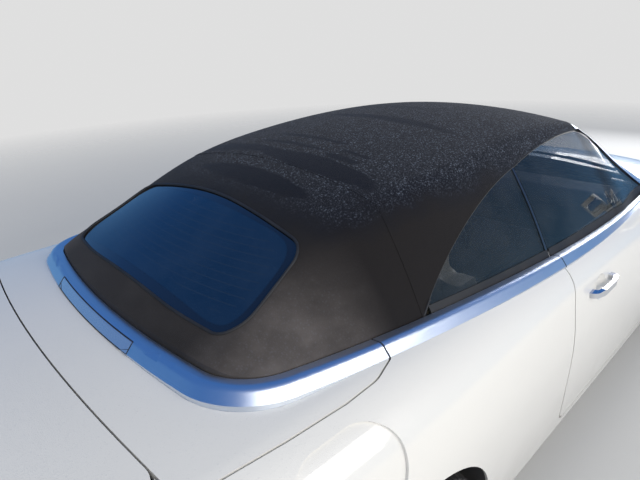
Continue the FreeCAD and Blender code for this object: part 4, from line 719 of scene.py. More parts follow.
def tyre_rubber():
    """Tyre rubber, greyed by dust in places."""

    def build(g):
        place = g.object_place()
        grain = g.group(grain_group(), Vector=place, Amount=0.6)
        dust = g.span(g.noise(place, 20.0, 5.0, 0.6), 0.42, 0.75, 0.0, 0.6)
        return {
            "Base Color": g.mix(dust, (0.022, 0.022, 0.023), (0.085, 0.078, 0.07)),
            "Roughness": g.span(dust, 0.0, 0.6, 0.68, 0.9),
            "Normal": g.bump(grain["Grain"], 0.3, 0.0004),
        }

    return material("Tyre rubber", (0.025, 0.025, 0.026), {"Specular IOR Level": 0.3}, build)


def carpet():
    """Tufted carpet of the footwells, with painted shade between the tufts."""

    def build(g):
        place = g.object_place()
        tufts = g.cells(place, 520.0)
        cloud = g.noise(place, 11.0, 3.0)
        # Painted shade: the carpet is darker down between the tufts
        depth = g.math("MULTIPLY", tufts, cloud)
        return {
            "Base Color": g.mix(depth, (0.05, 0.048, 0.045), (0.012, 0.012, 0.012)),
            "Normal": g.bump(tufts, 0.8, 0.0015),
        }

    return material("Carpet", (0.035, 0.034, 0.032), {"Roughness": 0.95, "Sheen Weight": 0.3}, build)


# Sizes and colours that a user would change


class ConvertibleFinish(bpy.types.PropertyGroup):
    """Colours and wear of the car."""

    paint_colour: bpy.props.FloatVectorProperty(
        name="Paint",
        description="Colour of the body paint",
        subtype="COLOR",
        size=3,
        default=(0.80, 0.79, 0.765),
        min=0,
        max=1,
    )
    fabric_colour: bpy.props.FloatVectorProperty(
        name="Top fabric",
        description="Colour of the top's yarn",
        subtype="COLOR",
        size=3,
        default=(0.0175, 0.0150, 0.0150),
        min=0,
        max=1,
    )
    lining_colour: bpy.props.FloatVectorProperty(
        name="Top lining",
        description="Colour of the lining under the top",
        subtype="COLOR",
        size=3,
        default=(0.03, 0.03, 0.031),
        min=0,
        max=1,
    )
    leather_colour: bpy.props.FloatVectorProperty(
        name="Cushion leather",
        description="Colour of the seats",
        subtype="COLOR",
        size=3,
        default=(0.70, 0.65, 0.55),
        min=0,
        max=1,
    )
    road_film: bpy.props.FloatProperty(
        name="Road film",
        description="How much dirt lies on the lower body",
        default=0.22,
        min=0,
        max=1,
        subtype="FACTOR",
    )


class ConvertibleSizes(bpy.types.PropertyGroup):
    """Small sizes that the looks add to the body."""

    fabric_thickness: bpy.props.FloatProperty(
        name="Fabric",
        description="Thickness of the top's fabric",
        default=0.0022,
        min=0.001,
        max=0.005,
        unit="LENGTH",
    )
    seam_width: bpy.props.FloatProperty(
        name="Seam",
        description="Width of the lapped seam across the top",
        default=0.014,
        min=0.005,
        max=0.04,
        unit="LENGTH",
    )
    bead_radius: bpy.props.FloatProperty(
        name="Bead",
        description="Radius of the bead round the rear window",
        default=0.0045,
        min=0.001,
        max=0.01,
        unit="LENGTH",
    )
    tread_depth: bpy.props.FloatProperty(
        name="Tread",
        description="Depth of the tyres' tread",
        default=0.007,
        min=0.003,
        max=0.009,
        unit="LENGTH",
    )
    tread_pitches: bpy.props.IntProperty(
        name="Tread pitches",
        description="Rows of tread blocks round a tyre",
        default=66,
        min=30,
        max=90,
    )
    camera_place: bpy.props.FloatVectorProperty(
        name="Camera",
        description="Where the camera stands",
        subtype="TRANSLATION",
        unit="LENGTH",
        size=3,
        default=(-2.002, -1.390, 1.699),
    )
    camera_lens: bpy.props.FloatProperty(
        name="Lens",
        description="Focal length in millimetres",
        default=27.47,
        min=10,
        max=200,
    )


# Places on the car in metres, for pieces that only the looks add

BONNET_TIP = 2.1676
BONNET_EDGE_RADIUS = 3.0
NOSE_HALF_WIDTH = 0.3255
NOSE_FOOT = 0.6435
WING_EDGE = 0.336
BELT_HEIGHT = 0.914
SEAM_FOOT = (-0.985, 0, 1.33)
SEAT_CENTRE = 0.370
CHANNEL_REACH = 0.135
CHANNEL_WIDTH = 0.009
REAR_CHANNELS = ((0.0, 0.008), (0.30, 0.005), (-0.30, 0.005))
PLATE = (0.520, 0.112)
PLATE_HEIGHTS = {"rear": 0.785, "front": 0.30}
MIRROR_HEIGHT = 1.205
DOOR_MIDDLE = 0.22
CARD_REACH = 0.701
TAILPIPE_END = (-2.2515, 0.43, 0.246)
PROJECTORS = ((1, 0.575, 0.640), (2, 0.680, 0.646))
LIGHT_BAR_HEIGHT = 0.612
TYRE_BEAD_RADIUS = 0.2288

# On a wheel, from its middle: outwards along the axle, and away from the axle
DISC_FACE, HUB_RADIUS, DISC_RADIUS = -0.034, 0.06, 0.152
BOLT_FACE, BOLT_REACH = 0.0705, 0.052

# Middle across the tyre, width, share of the pitch and slant of each row of tread blocks
TREAD_ROWS = (
    (-0.098, 0.034, 0.75, 0.0),
    (-0.056, 0.036, 0.8, 0.35),
    (-0.014, 0.026, 0.86, -0.25),
    (0.022, 0.030, 0.86, 0.25),
    (0.064, 0.036, 0.8, -0.35),
    (0.101, 0.030, 0.75, 0.0),
)


# Body

PAINTED = (
    "front_wings",
    "body_sides",
    "fuel_flap",
    "front_bumper",
    "rear_bumper",
    "bonnet",
    "boot_lid",
    "tonneau_lid",
)


class CONVERTIBLE_OT_bodywork(bpy.types.Operator):
    """Painted panels, with their mirrors, and the blank number plates"""

    bl_idname = "convertible.bodywork"
    bl_label = "Bodywork"

    def execute(self, context):
        white = paint()
        panels = {}
        for node in PAINTED:
            panels[node] = stand_in(node, "painted_" + node, white)
        for side, s in SIDES:
            stand_in("door_" + side, "painted_door_" + side, white)
            stand_in("mirror_" + side, "mirror_housing_" + side, white)
            self.mirror_glass(side, s)
        self.nose_panel(panels, white)
        self.plates(panels)
        return {"FINISHED"}

    def nose_panel(self, panels, white):
        """Painted panel between the bonnet's front edge and the bumper, from wing to wing."""
        bumper, wing, bonnet = (panels[node] for node in ("front_bumper", "front_wings", "bonnet"))
        half, low, gap = NOSE_HALF_WIDTH, NOSE_FOOT, 0.005
        rise, steps = 0.13, 8

        def reach(obj, y, z):
            found = surface_at(obj, (3, y, z), (-1, 0, 0), needed=False)
            return found[0].x if found else None

        lip = low - 0.007
        beside = reach(bumper, half, lip)
        profile = []
        for k in range(steps + 1):
            x = reach(wing, WING_EDGE, low + rise * k / steps)
            profile.append(x if x is not None else profile[-1] - 0.02)

        def wing_x(z):
            k = min(max((z - low) / rise * steps, 0), steps - 0.001)
            a, b = profile[int(k)], profile[int(k) + 1]
            return a + (b - a) * (k - int(k))

        bpy.ops.mesh.primitive_grid_add(x_subdivisions=30, y_subdivisions=10, size=1, location=(0, 0, 0))
        panel = bpy.context.active_object
        columns = {}
        for v in panel.data.vertices:
            y, k = round(2 * half * v.co.x, 5), v.co.y + 0.5
            if y not in columns:
                tip = BONNET_TIP - (BONNET_EDGE_RADIUS - (BONNET_EDGE_RADIUS**2 - y * y) ** 0.5)
                top, _ = surface_at(bonnet, (tip - 0.004, y, 2), (0, 0, -1))
                columns[y] = (tip + gap, top.z - 0.002, reach(bumper, y, lip) - beside)
            tip, top, shift = columns[y]
            z = low + (top - low) * k
            miss = tip - (wing_x(top) + shift)
            v.co = (wing_x(z) + shift + miss * k * k, y, z)
        panel.data.update()
        if panel.data.polygons[0].normal.x < 0:
            pick(panel, faces=lambda f: True)
            bpy.ops.mesh.flip_normals()
            bpy.ops.object.mode_set(mode="OBJECT")
        apply(panel, "SOLIDIFY", thickness=0.003, offset=-1)
        finish_piece(panel, "painted_nose_panel", "body", white)

    def mirror_glass(self, side, s):
        """Glass in the rear of a door mirror's housing."""
        low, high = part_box("mirror_" + side)
        outer = max(abs(low.y), abs(high.y))
        pane = block((low.x - 0.0005, s * (outer - 0.075), 1.006), (0.004, 0.10, 0.066), 0.0015)
        finish_piece(pane, "mirror_glass_" + side, "door_" + side, silvered())

    def plates(self, panels):
        """Blank number plates in dark surrounds on the boot lid and the front bumper."""
        blank = plastic("Blank plate", (0.72, 0.72, 0.70), 0.35, 0.15, 0.3)
        surround = plastic("Plate surround", (0.02, 0.02, 0.021), 0.5, 0.4)
        for name, body, node, z, direction in (
            ("rear_plate", "boot_lid", "boot_lid", PLATE_HEIGHTS["rear"], 1),
            ("front_plate", "body", "front_bumper", PLATE_HEIGHTS["front"], -1),
        ):
            place, _ = surface_at(panels[node], (-3.0 * direction, 0, z), (direction, 0, 0))
            x = place.x - direction * 0.007
            back = block((x, 0, z), (0.008, PLATE[0] + 0.014, PLATE[1] + 0.012), 0.003)
            finish_piece(back, name + "_surround", body, surround)
            front = block((x - direction * 0.005, 0, z), (0.003, *PLATE), 0.0012)
            finish_piece(front, name, body, blank)


# Fabric top

# The least outwardness of a face on the top's outside
OUTSIDE = 0.22


def outwardness(f):
    """1 on the top's outside, -1 on its inside, near 0 on its cut edges."""
    c = f.center
    nearest_middle = Vector((min(max(c.x, -1.2), 0.1), c.y * 0.35, 0.92))
    return f.normal.dot((c - nearest_middle).normalized())


def bead_along(surface, name, test, radius):
    """A round bead along the open edges of a surface that pass the test."""
    mesh = surface.data
    uses = {}
    for f in mesh.polygons:
        for key in f.edge_keys:
            uses[key] = uses.get(key, 0) + 1
    keep = {key for key, n in uses.items() if n == 1 and all(test(mesh.vertices[i].co) for i in key)}
    piece = duplicate(surface)
    piece.name = name
    pick(piece, points=lambda co: False)
    bpy.ops.object.mode_set(mode="OBJECT")
    for e in piece.data.edges:
        e.select = tuple(sorted(e.vertices)) in keep
    bpy.ops.object.mode_set(mode="EDIT")
    bpy.ops.mesh.select_mode(type="EDGE")
    bpy.ops.mesh.select_all(action="INVERT")
    bpy.ops.mesh.delete(type="EDGE")
    bpy.ops.object.mode_set(mode="OBJECT")
    only(piece)
    bpy.ops.object.convert(target="CURVE")
    piece = bpy.context.active_object
    piece.data.bevel_depth = radius
    piece.data.bevel_resolution = 3
    bpy.ops.object.convert(target="MESH")
    return bpy.context.active_object


class CONVERTIBLE_OT_fabric_top(bpy.types.Operator):
    """The fabric top: stretched outer fabric, lining, lapped seam and edge beads"""

    bl_idname = "convertible.fabric_top"
    bl_label = "Fabric top"

    def execute(self, context):
        sizes = context.scene.convertible_sizes
        colours = context.scene.convertible_finish
        cloth = fabric()
        skin = copy_of("soft_top", "top_skin")
        delete_faces(skin, lambda f: outwardness(f) < OUTSIDE)
        lining = copy_of("soft_top", "top_lining")
        delete_faces(lining, lambda f: outwardness(f) >= OUTSIDE)

        # Lapped seam across the cloth behind the roof
        foot, lean = Vector(SEAM_FOOT), Vector((1, 0, -0.10)).normalized()
        half = sizes.seam_width / 2
        seam = strip_from(skin, "seam", ((foot - lean * half, lean), (foot + lean * half, -lean)), 0.0014)
        finish_piece(seam, "top_seam", "body", fabric())

        # Beads round the rear window and along the hem
        seal = rubber()
        opening = lambda co: -1.57 < co.x < -1.18 and abs(co.y) < 0.53 and co.z > 1.03
        window = bead_along(skin, "bead", opening, sizes.bead_radius)
        finish_piece(window, "rear_window_bead", "body", seal, 60)
        hem = bead_along(skin, "hem", lambda co: co.z < 1.02 and co.x < -0.9, 0.0035)
        finish_piece(hem, "top_hem_bead", "body", seal, 60)

        apply(skin, "SOLIDIFY", thickness=sizes.fabric_thickness, offset=-1)
        finish_piece(skin, "top_fabric", "body", cloth, 50)
        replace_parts(skin, "soft_top")

        def knit(g):
            place = g.object_place()
            loops = g.cells(place, 700.0)
            cloud = g.noise(place, 4.0)
            base = tuple(colours.lining_colour)
            return {
                "Base Color": g.mix(g.math("MULTIPLY", loops, cloud), base, tuple(c * 2.2 for c in base)),
                "Normal": g.bump(loops, 0.3, 0.0004),
            }

        constant = {"Roughness": 0.92, "Sheen Weight": 0.2}
        inside = material("Top lining", tuple(colours.lining_colour), constant, knit)
        apply(lining, "SOLIDIFY", thickness=0.0015, offset=-1)
        finish_piece(lining, "top_lining", "body", inside, 50)
        return {"FINISHED"}


# Glass and brightwork


def smoked_lens():
    """Silvered lens of the high brake lamp, smoother and a little darker than the band round it."""

    def build(g):
        place = g.object_place()
        fine = g.wave(place, 90.0, "Y")
        smear = g.noise(place, 18.0, 2.0)
        return {
            "Base Color": g.mix(g.span(fine, 0.2, 0.8), (0.60, 0.66, 0.76), (0.50, 0.57, 0.68)),
            "Roughness": g.span(smear, 0.3, 0.7, 0.12, 0.20),
        }

    constant = {"Metallic": 0.8, "Coat Weight": 1.0, "Coat Roughness": 0.03}
    return material("Silvered lamp lens", (0.55, 0.6, 0.7), constant, build)


def rear_glass_finish():
    """Dark tinted rear glass with its black border and heating wires."""

    def build(g):
        place = g.object_place()
        x, y, z = (g.split(place)[k] for k in "XYZ")
        beads = g.group(dew_group(), Vector=place, Amount=0.5)
        rear_end, front_end, rear_half, front_half = -1.541, -1.219, 0.512, 0.470
        side = g.math("SUBTRACT", g.math("ABSOLUTE", y), g.span(x, -1.50, -1.235, rear_half, front_half))
        ends = g.math("MAXIMUM", g.math("SUBTRACT", x, front_end), g.math("SUBTRACT", rear_end, x))
        edge = g.add("ShaderNodeMath", {0: side, 1: ends, 2: 0.14}, operation="SMOOTH_MAX").outputs["Value"]
        border = g.span(edge, -0.024, -0.020)
        wires = g.wave(g.add("ShaderNodeCombineXYZ", {"X": z}).outputs["Vector"], 26.0, "X")
        wires = g.math("MULTIPLY", g.span(wires, 0.965, 0.99), g.span(edge, -0.045, -0.05))
        film = g.span(g.noise(place, 5.0, 4.0, 0.6), 0.35, 0.75, 0.0, 0.05)
        haze = g.math("MAXIMUM", film, g.math("MULTIPLY", beads["Beads"], 0.2))
        tint = g.mix(haze, (0.003, 0.014, 0.040), (0.22, 0.28, 0.36))
        tint = g.mix(wires, tint, (0.016, 0.026, 0.044))
        tint = g.mix(border, tint, (0.006, 0.006, 0.007))
        pane = g.span(haze, 0.0, 0.3, 0.84, 0.95)
        cover = g.math("MAXIMUM", border, g.math("MAXIMUM", g.math("MULTIPLY", wires, 0.9), pane))
        return {"Base Color": tint, "Alpha": cover, "Normal": g.bump(beads["Beads"], 0.08, 0.0004)}

    constant = {"Roughness": 0.04, "Coat Weight": 1.0, "Coat Roughness": 0.02}
    made = material("Rear glass", (0.02, 0.025, 0.03), constant, build)
    made.surface_render_method = "BLENDED"
    return made


class CONVERTIBLE_OT_glazing(bpy.types.Operator):
    """Windscreen, side glass, rear glass and their black edges"""

    bl_idname = "convertible.glazing"
    bl_label = "Glazing"

    def execute(self, context):
        clear = glass("Clear glass", (0.02, 0.035, 0.03), 0.16)
        side = glass("Side glass", (0.012, 0.018, 0.020), 0.45)
        screen = stand_in("windscreen", "windscreen_glass", clear)
        self.wipers(screen)
        stand_in("rear_window", "rear_glass", rear_glass_finish())
        panes = {"quarter_glass": stand_in("quarter_glass", "quarter_panes", side)}
        for name, _ in SIDES:
            node = "door_glass_" + name
            panes[node] = stand_in(node, "door_pane_" + name, side)
        for node, pane in panes.items():
            self.seals(node, pane)
        return {"FINISHED"}

    def wipers(self, screen):
        """Two wipers at rest along the foot of the windscreen."""
        black = plastic("Wiper black", (0.018, 0.018, 0.019), 0.4, 0.3)

        def foot(y):
            x = 1.05
            while surface_at(screen, (x, y, 2), (0, 0, -1), needed=False) is None:
                x -= 0.005
            return x

        def lying(y, back, lift):
            place, normal = surface_at(screen, (foot(y) - back, y, 2), (0, 0, -1))
            return place + normal * lift

        for name, start, end, pivot in (("left", 0.60, 0.04, 0.02), ("right", -0.02, -0.56, -0.60)):
            steps = [start + (end - start) * k / 12 for k in range(13)]
            blade = tube("blade", [lying(y, 0.050, 0.0075) for y in steps], 0.005)
            spine = tube("spine", [lying(y, 0.050, 0.014) for y in steps[2:-2]], 0.004)
            middle = steps[6]
            way = [pivot + (middle - pivot) * k / 6 for k in range(7)]
            arm = tube("arm", [lying(y, 0.034 + 0.016 * k / 6, 0.018) for k, y in enumerate(way)], 0.005)
            finish_piece(join([blade, spine, arm], "wiper"), "wiper_" + name, "body", black, 50)

    def seals(self, node, pane):
        """Wiper seal at the foot of a side pane, and the upright seal between the two panes."""
        black = rubber()
        body = BODY_OF[node]
        inner = lambda f: f.normal.y * f.center.y < 0 or abs(f.normal.y) < 0.3
        low, up = Vector((0, 0, BELT_HEIGHT)), Vector((0.045, 0, 1)).normalized()
        top = Vector((-0.7, 0, 0.9735))
        down = Vector((-0.03625, 0, -1)).normalized()
        foot = strip_from(pane, "foot", ((low, up), (top, down)), 0.0035, inner)
        finish_piece(foot, node + "_foot_seal", body, black, 50)
        ahead = Vector((1, 0, 0))
        if node == "quarter_glass":
            edge = Vector((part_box(node)[1].x, 0, 0))
            post = strip_from(pane, "post", ((edge - ahead * 0.013, ahead), (low, up)), 0.003, inner)
            finish_piece(post, "quarter_glass_front_seal", body, gloss_black(), 50)


class CONVERTIBLE_OT_brightwork(bpy.types.Operator):
    """Satin belt trims, windscreen frame, high brake lamp and chrome handles"""

    bl_idname = "convertible.brightwork"
    bl_label = "Brightwork"

    def execute(self, context):
        satin = satin_metal()
        for node in ("tonneau_trim", "belt_trim", "door_trim_left", "door_trim_right"):
            stand_in(node, "bright_" + node, satin, 18)
        stand_in("windscreen_frame", "screen_frame", satin)
        lamp = stand_in("high_brake_lamp", "brake_lamp_cover", smoked_lens(), 18)
        face = duplicate(lamp)
        delete_faces(face, lambda f: f.normal.z <= 0.5)
        outline = bead_along(face, "outline", lambda co: True, 0.0013)
        bpy.data.objects.remove(face)
        finish_piece(outline, "brake_lamp_outline", "tonneau_lid", rubber(), 60)
        polished = chrome()
        for side, _ in SIDES:
            stand_in("handle_" + side, "pull_handle_" + side, polished)
        return {"FINISHED"}


# Lamps, grille and lower trim


def projector_glass():
    """Bluish bright glass of the lamps behind the headlamps' lenses."""

    def build(g):
        cloud = g.noise(g.object_place(), 60.0)
        return {"Base Color": g.mix(cloud, (0.50, 0.57, 0.66), (0.62, 0.68, 0.76))}

    constant = {"Roughness": 0.03, "Metallic": 0.6, "Coat Weight": 1.0}
    return material("Projector glass", (0.55, 0.62, 0.7), constant, build)


class CONVERTIBLE_OT_lamps_and_grille(bpy.types.Operator):
    """Head lamps with their insides, tail lamps, the grille and the cowl"""

    bl_idname = "convertible.lamps_and_grille"
    bl_label = "Lamps and grille"

    def execute(self, context):
        clear = lens("Headlamp lens", (0.72, 0.75, 0.78), 0.35, ribs=False)
        red = lens("Tail lamp lens", (0.30, 0.006, 0.008), 1.0)
        lenses = stand_in("headlamps", "headlamp_lenses", clear)
        for side, s in SIDES:
            self.lamp_inside(lenses, side, s)
        stand_in("tail_lamps", "tail_lamp_lenses", red)
        stand_in("lid_lamps", "lid_lamp_lenses", red)
        black = plastic("Black trim", (0.02, 0.02, 0.021), 0.45, 0.4, 0.4)
        stand_in("grille", "grille_slats", gloss_black())
        stand_in("cowl", "cowl_panel", black)
        return {"FINISHED"}

    def lamp_inside(self, lenses, side, s):
        """Dark housing, two projector lamps and a light bar behind a headlamp's lens."""
        housing = duplicate(lenses)
        facing = Vector((0.75, 0.6 * s, 0.2)).normalized()
        delete_faces(housing, lambda f: f.center.y * s < 0 or f.normal.dot(facing) < 0.35)
        apply(housing, "DISPLACE", strength=-0.050, mid_level=0.0)
        apply(housing, "SOLIDIFY", thickness=0.0015, offset=-1)
        finish_piece(housing, "headlamp_housing_" + side, "body", gloss_black(), 50)
        bright, clear = chrome(), projector_glass()
        for number, y, z in PROJECTORS:
            place, _ = surface_at(lenses, (3, s * y, z), (-1, 0, 0))
            heart = place - Vector((0.047, 0, 0))
            front = heart + Vector((0.010, 0, 0))
            mark = "_%s_%d" % (side, number)
            barrel = disc(heart, 0.036, 0.020, "X", 40, 0.002)
            barrel = join([barrel, ring(front, 0.0355, 0.003, 40, 8)], "barrel")
            finish_piece(barrel, "headlamp_barrel" + mark, "body", bright, 50)
            bpy.ops.mesh.primitive_uv_sphere_add(segments=32, ring_count=16, radius=0.029, location=front)
            ball = bpy.context.active_object
            ball.scale = (0.45, 1, 1)
            finish_piece(ball, "headlamp_projector" + mark, "body", clear, 60)
        line = []
        for k in range(9):
            y = 0.50 + 0.27 * k / 8
            found = surface_at(lenses, (3, s * y, LIGHT_BAR_HEIGHT), (-1, 0, 0), needed=False)
            if found:
                line.append(found[0] - Vector((0.036, 0, 0)))
        white = plastic("Light bar", (0.78, 0.79, 0.8), 0.3, 0.1)
        finish_piece(tube("bar", line, 0.005), "headlamp_bar_" + side, "body", white, 50)


# Wheels


class CONVERTIBLE_OT_wheels(bpy.types.Operator):
    """Tyres with tread, painted rims, brake discs and centre caps"""

    bl_idname = "convertible.wheels"
    bl_label = "Wheels"

    def execute(self, context):
        sizes = context.scene.convertible_sizes
        low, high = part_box("tyre_front_left")
        centre = (low + high) / 2
        first = self.tyre(centre, (high.z - low.z) / 2, high.y - low.y, sizes)
        for end in ("front", "rear"):
            for side, s in SIDES:
                name = "%s_%s" % (end, side)
                low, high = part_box("tyre_" + name)
                place = (low + high) / 2
                tyre = duplicate(first)
                tyre.data.transform(Matrix.Translation(place - centre))
                finish_piece(tyre, "tyre_tread_" + name, "wheel_" + name, tyre_rubber(), 40)
                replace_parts(tyre, "tyre_" + name)
                rim = stand_in("rim_" + name, "wheel_rim_" + name, wheel_silver())
                self.disc_finish(rim, place, s)
        bpy.data.objects.remove(first)
        return {"FINISHED"}

    def tyre(self, centre, radius, width, sizes):
        """Carcass spun from its section, with rows of tread blocks round it."""
        base = radius - sizes.tread_depth
        half = width / 2
        section = (
            (-0.104, TYRE_BEAD_RADIUS),
            (-0.113, TYRE_BEAD_RADIUS + 0.006),
            (-half + 0.006, 0.252),
            (-half + 0.0005, 0.274),
            (-half + 0.004, 0.294),
            (-half + 0.011, radius - 0.019),
            (-half + 0.022, radius - 0.0095),
            (-half + 0.036, base - 0.0005),
            (-0.05, base),
            (0.0, base + 0.0008),
        )
        bpy.ops.mesh.primitive_plane_add(size=1, location=(0, 0, 0))
        obj = bpy.context.active_object
        obj.name = "tyre"
        on_all(obj, bpy.ops.mesh.delete, type="VERT")
        points = list(section) + [(-a, b) for a, b in reversed(section[:-1])]
        mesh = obj.data
        mesh.vertices.add(len(points))
        for v, (a, b) in zip(mesh.vertices, points):
            v.co = (0, a, b)
        mesh.edges.add(len(points))
        for i, e in enumerate(mesh.edges):
            e.vertices = (i, (i + 1) % len(points))
        mesh.update()
        turn = {"angle": 2 * pi, "center": (0, 0, 0), "axis": (0, 1, 0)}
        on_all(obj, bpy.ops.mesh.spin, steps=120, **turn)
        on_all(obj, bpy.ops.mesh.remove_doubles, threshold=0.0001)
        on_all(obj, bpy.ops.mesh.normals_make_consistent, inside=False)

        # One pitch of the tread, then the same all round
        blocks = []
        pitch = 2 * pi * radius / sizes.tread_pitches
        for y, wide, share, slant in TREAD_ROWS:
            edge = abs(y) > 0.09
            depth = sizes.tread_depth + 0.004
            sunk = 0.0022 if edge else 0.0004
            piece = block((0, y, radius - depth / 2 - sunk), (pitch * share, wide, depth), 0)
            for v in piece.data.vertices:
                v.co.x += slant * v.co.y * 0.6
            if edge:
                for v in piece.data.vertices:
                    if v.co.y * y > 0 and abs(v.co.y) > wide / 4:
                        v.co.z -= 0.005
            rest_at_origin(piece)
            blocks.append(piece)
        row = join(blocks, "pitch")
        on_all(row, bpy.ops.mesh.spin, steps=sizes.tread_pitches, dupli=True, **turn)
        whole = join([obj, row], "tyre")
        whole.data.transform(Matrix.Translation(centre))
        return whole

    def disc_finish(self, rim, place, s):
        """Gives the brake disc and the bolts their own metal."""
        iron = cast_metal("Brake disc iron", (0.32, 0.31, 0.30), 0.4)
        bright = chrome()
        rim.data.materials.append(iron)
        rim.data.materials.append(bright)
        for f in rim.data.polygons:
            out = (f.center.y - place.y) * s
            reach = Vector((f.center.x - place.x, f.center.z - place.z)).length
            if out < DISC_FACE and HUB_RADIUS < reach < DISC_RADIUS:
                f.material_index = 1
            elif out > BOLT_FACE and reach < BOLT_REACH:
                f.material_index = 2


# Cabin


class CONVERTIBLE_OT_seats(bpy.types.Operator):
    """Front and rear seats as stuffed leather with sewn channels"""

    bl_idname = "convertible.seats"
    bl_label = "Seats"

    def execute(self, context):
        hide = leather("Cushion leather", tuple(context.scene.convertible_finish.leather_colour))
        front = copy_of("front_seats", "front_seat")
        delete_faces(front, lambda f: f.center.y < 0)
        self.stuff(front, 0.010, 0.012)
        self.channels(front, [(SEAT_CENTRE + k * CHANNEL_REACH, 0.006) for k in (-1, 1)])
        other = twin(front)
        finish_piece(front, "seat_left", "body", hide, 60)
        finish_piece(other, "seat_right", "body", hide, 60)
        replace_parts(front, "front_seats")
        rear = copy_of("rear_seat", "rear_seat_pad")
        self.stuff(rear, 0.010, 0.010)
        self.channels(rear, REAR_CHANNELS)
        finish_piece(rear, "rear_bench", "body", hide, 60)
        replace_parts(rear, "rear_seat")
        return {"FINISHED"}

    def stuff(self, obj, voxel, swell):
        """Shrinks the pad a little and swells it under its own pressure."""
        only(obj)
        apply(obj, "REMESH", mode="VOXEL", voxel_size=voxel)
        apply(obj, "SMOOTH", factor=0.6, iterations=10)
        apply(obj, "DISPLACE", strength=-swell, mid_level=0.0)
        before = [v.co.copy() for v in obj.data.vertices]
        frames, most = 16, swell * 0.9
        cloth = obj.modifiers.new("Cloth", "CLOTH")
        cloth.settings.quality = 4
        cloth.settings.use_pressure = True
        cloth.settings.uniform_pressure_force = 4.0
        cloth.settings.effector_weights.gravity = 0.0
        cloth.point_cache.frame_end = frames
        for step in range(1, frames + 1):
            bpy.context.scene.frame_set(step)
        only(obj)
        bpy.ops.object.modifier_apply(modifier=cloth.name)
        bpy.context.scene.frame_set(1)
        for v, place in zip(obj.data.vertices, before):
            move = v.co - place
            if move.length > most:
                v.co = place + move.normalized() * most
        apply(obj, "SMOOTH", factor=0.5, iterations=3)

    def channels(self, obj, lines):
        """Draws the cover in along its sewn lines, each given as (place across the car, depth)."""
        for v in obj.data.vertices:
            n = v.normal
            for y, depth in lines:
                d = (v.co.y - y) / CHANNEL_WIDTH
                if abs(d) < 3 and abs(n.y) < 0.7:
                    v.co -= n * depth * 2.718 ** (-d * d)
        obj.data.update()


class CONVERTIBLE_OT_cabin(bpy.types.Operator):
    """Dashboard, console, steering wheel, inner mirror, door cards and carpet"""

    bl_idname = "convertible.cabin"
    bl_label = "Cabin"

    def execute(self, context):
        dark = plastic("Dark cabin moulding", (0.028, 0.027, 0.027), 0.55, 0.8)
        stand_in("dashboard", "dashboard_moulding", dark)
        stand_in("console", "console_moulding", dark)
        grip = leather("Wheel leather", (0.03, 0.028, 0.027))
        stand_in("steering_wheel", "steering_wheel_rim", grip)
        self.inner_mirror()
        hide = leather("Cushion leather", tuple(context.scene.convertible_finish.leather_colour))
        fleece = carpet()
        for side, s in SIDES:
            self.door_card(side, s, dark, hide)
            mat = block((0.15, s * 0.435, 0.1875), (1.52, 0.60, 0.006), 0.002)
            finish_piece(mat, "carpet_" + side, "body", fleece)
        return {"FINISHED"}

    def inner_mirror(self):
        """Mirror on its stalk at the top of the windscreen."""
        casing = plastic("Mirror casing", (0.02, 0.02, 0.021), 0.5, 0.6)
        shell = block((0.400, 0, MIRROR_HEIGHT), (0.024, 0.250, 0.062), 0.010, 3)
        stalk = tube("stalk", [(0.405, 0, 1.215), (0.440, 0, 1.226), (0.466, 0, 1.238)], 0.007)
        shell = join([shell, stalk], "mirror")
        finish_piece(shell, "inner_mirror_casing", "body", casing, 50)
        pane = block((0.3872, 0, MIRROR_HEIGHT), (0.002, 0.232, 0.046), 0.0008)
        finish_piece(pane, "inner_mirror_glass", "body", silvered())

    def door_card(self, side, s, dark, hide):
        """Moulded card with armrest, pull and speaker on the inside of a door."""
        body = "door_" + side
        card = block((DOOR_MIDDLE, s * CARD_REACH, 0.60), (1.06, 0.014, 0.56), 0.005)
        shelf = block((DOOR_MIDDLE, s * (CARD_REACH - 0.013), 0.845), (1.00, 0.022, 0.05), 0.009, 3)
        finish_piece(join([card, shelf], "card"), "door_card_" + side, body, dark, 40)
        rest = block((0.14, s * (CARD_REACH - 0.033), 0.63), (0.56, 0.056, 0.055), 0.016, 4)
        insert = block((0.16, s * (CARD_REACH - 0.009), 0.735), (0.80, 0.012, 0.13), 0.005, 3)
        finish_piece(join([rest, insert], "armrest"), "door_armrest_" + side, body, hide, 50)
        grid = disc((0.58, s * (CARD_REACH - 0.009), 0.44), 0.078, 0.008, "Y", 48, 0.003)
        mesh = plastic("Speaker grid", (0.05, 0.05, 0.052), 0.5, 1.0)
        finish_piece(grid, "door_speaker_" + side, body, mesh, 40)
        far, near = s * (CARD_REACH - 0.011), s * (CARD_REACH - 0.029)
        way = [(0.42, far, 0.795), (0.44, near, 0.795), (0.54, near, 0.790), (0.56, far, 0.788)]
        pull = tube("pull", way, 0.006)
        finish_piece(pull, "door_pull_" + side, body, chrome(), 50)


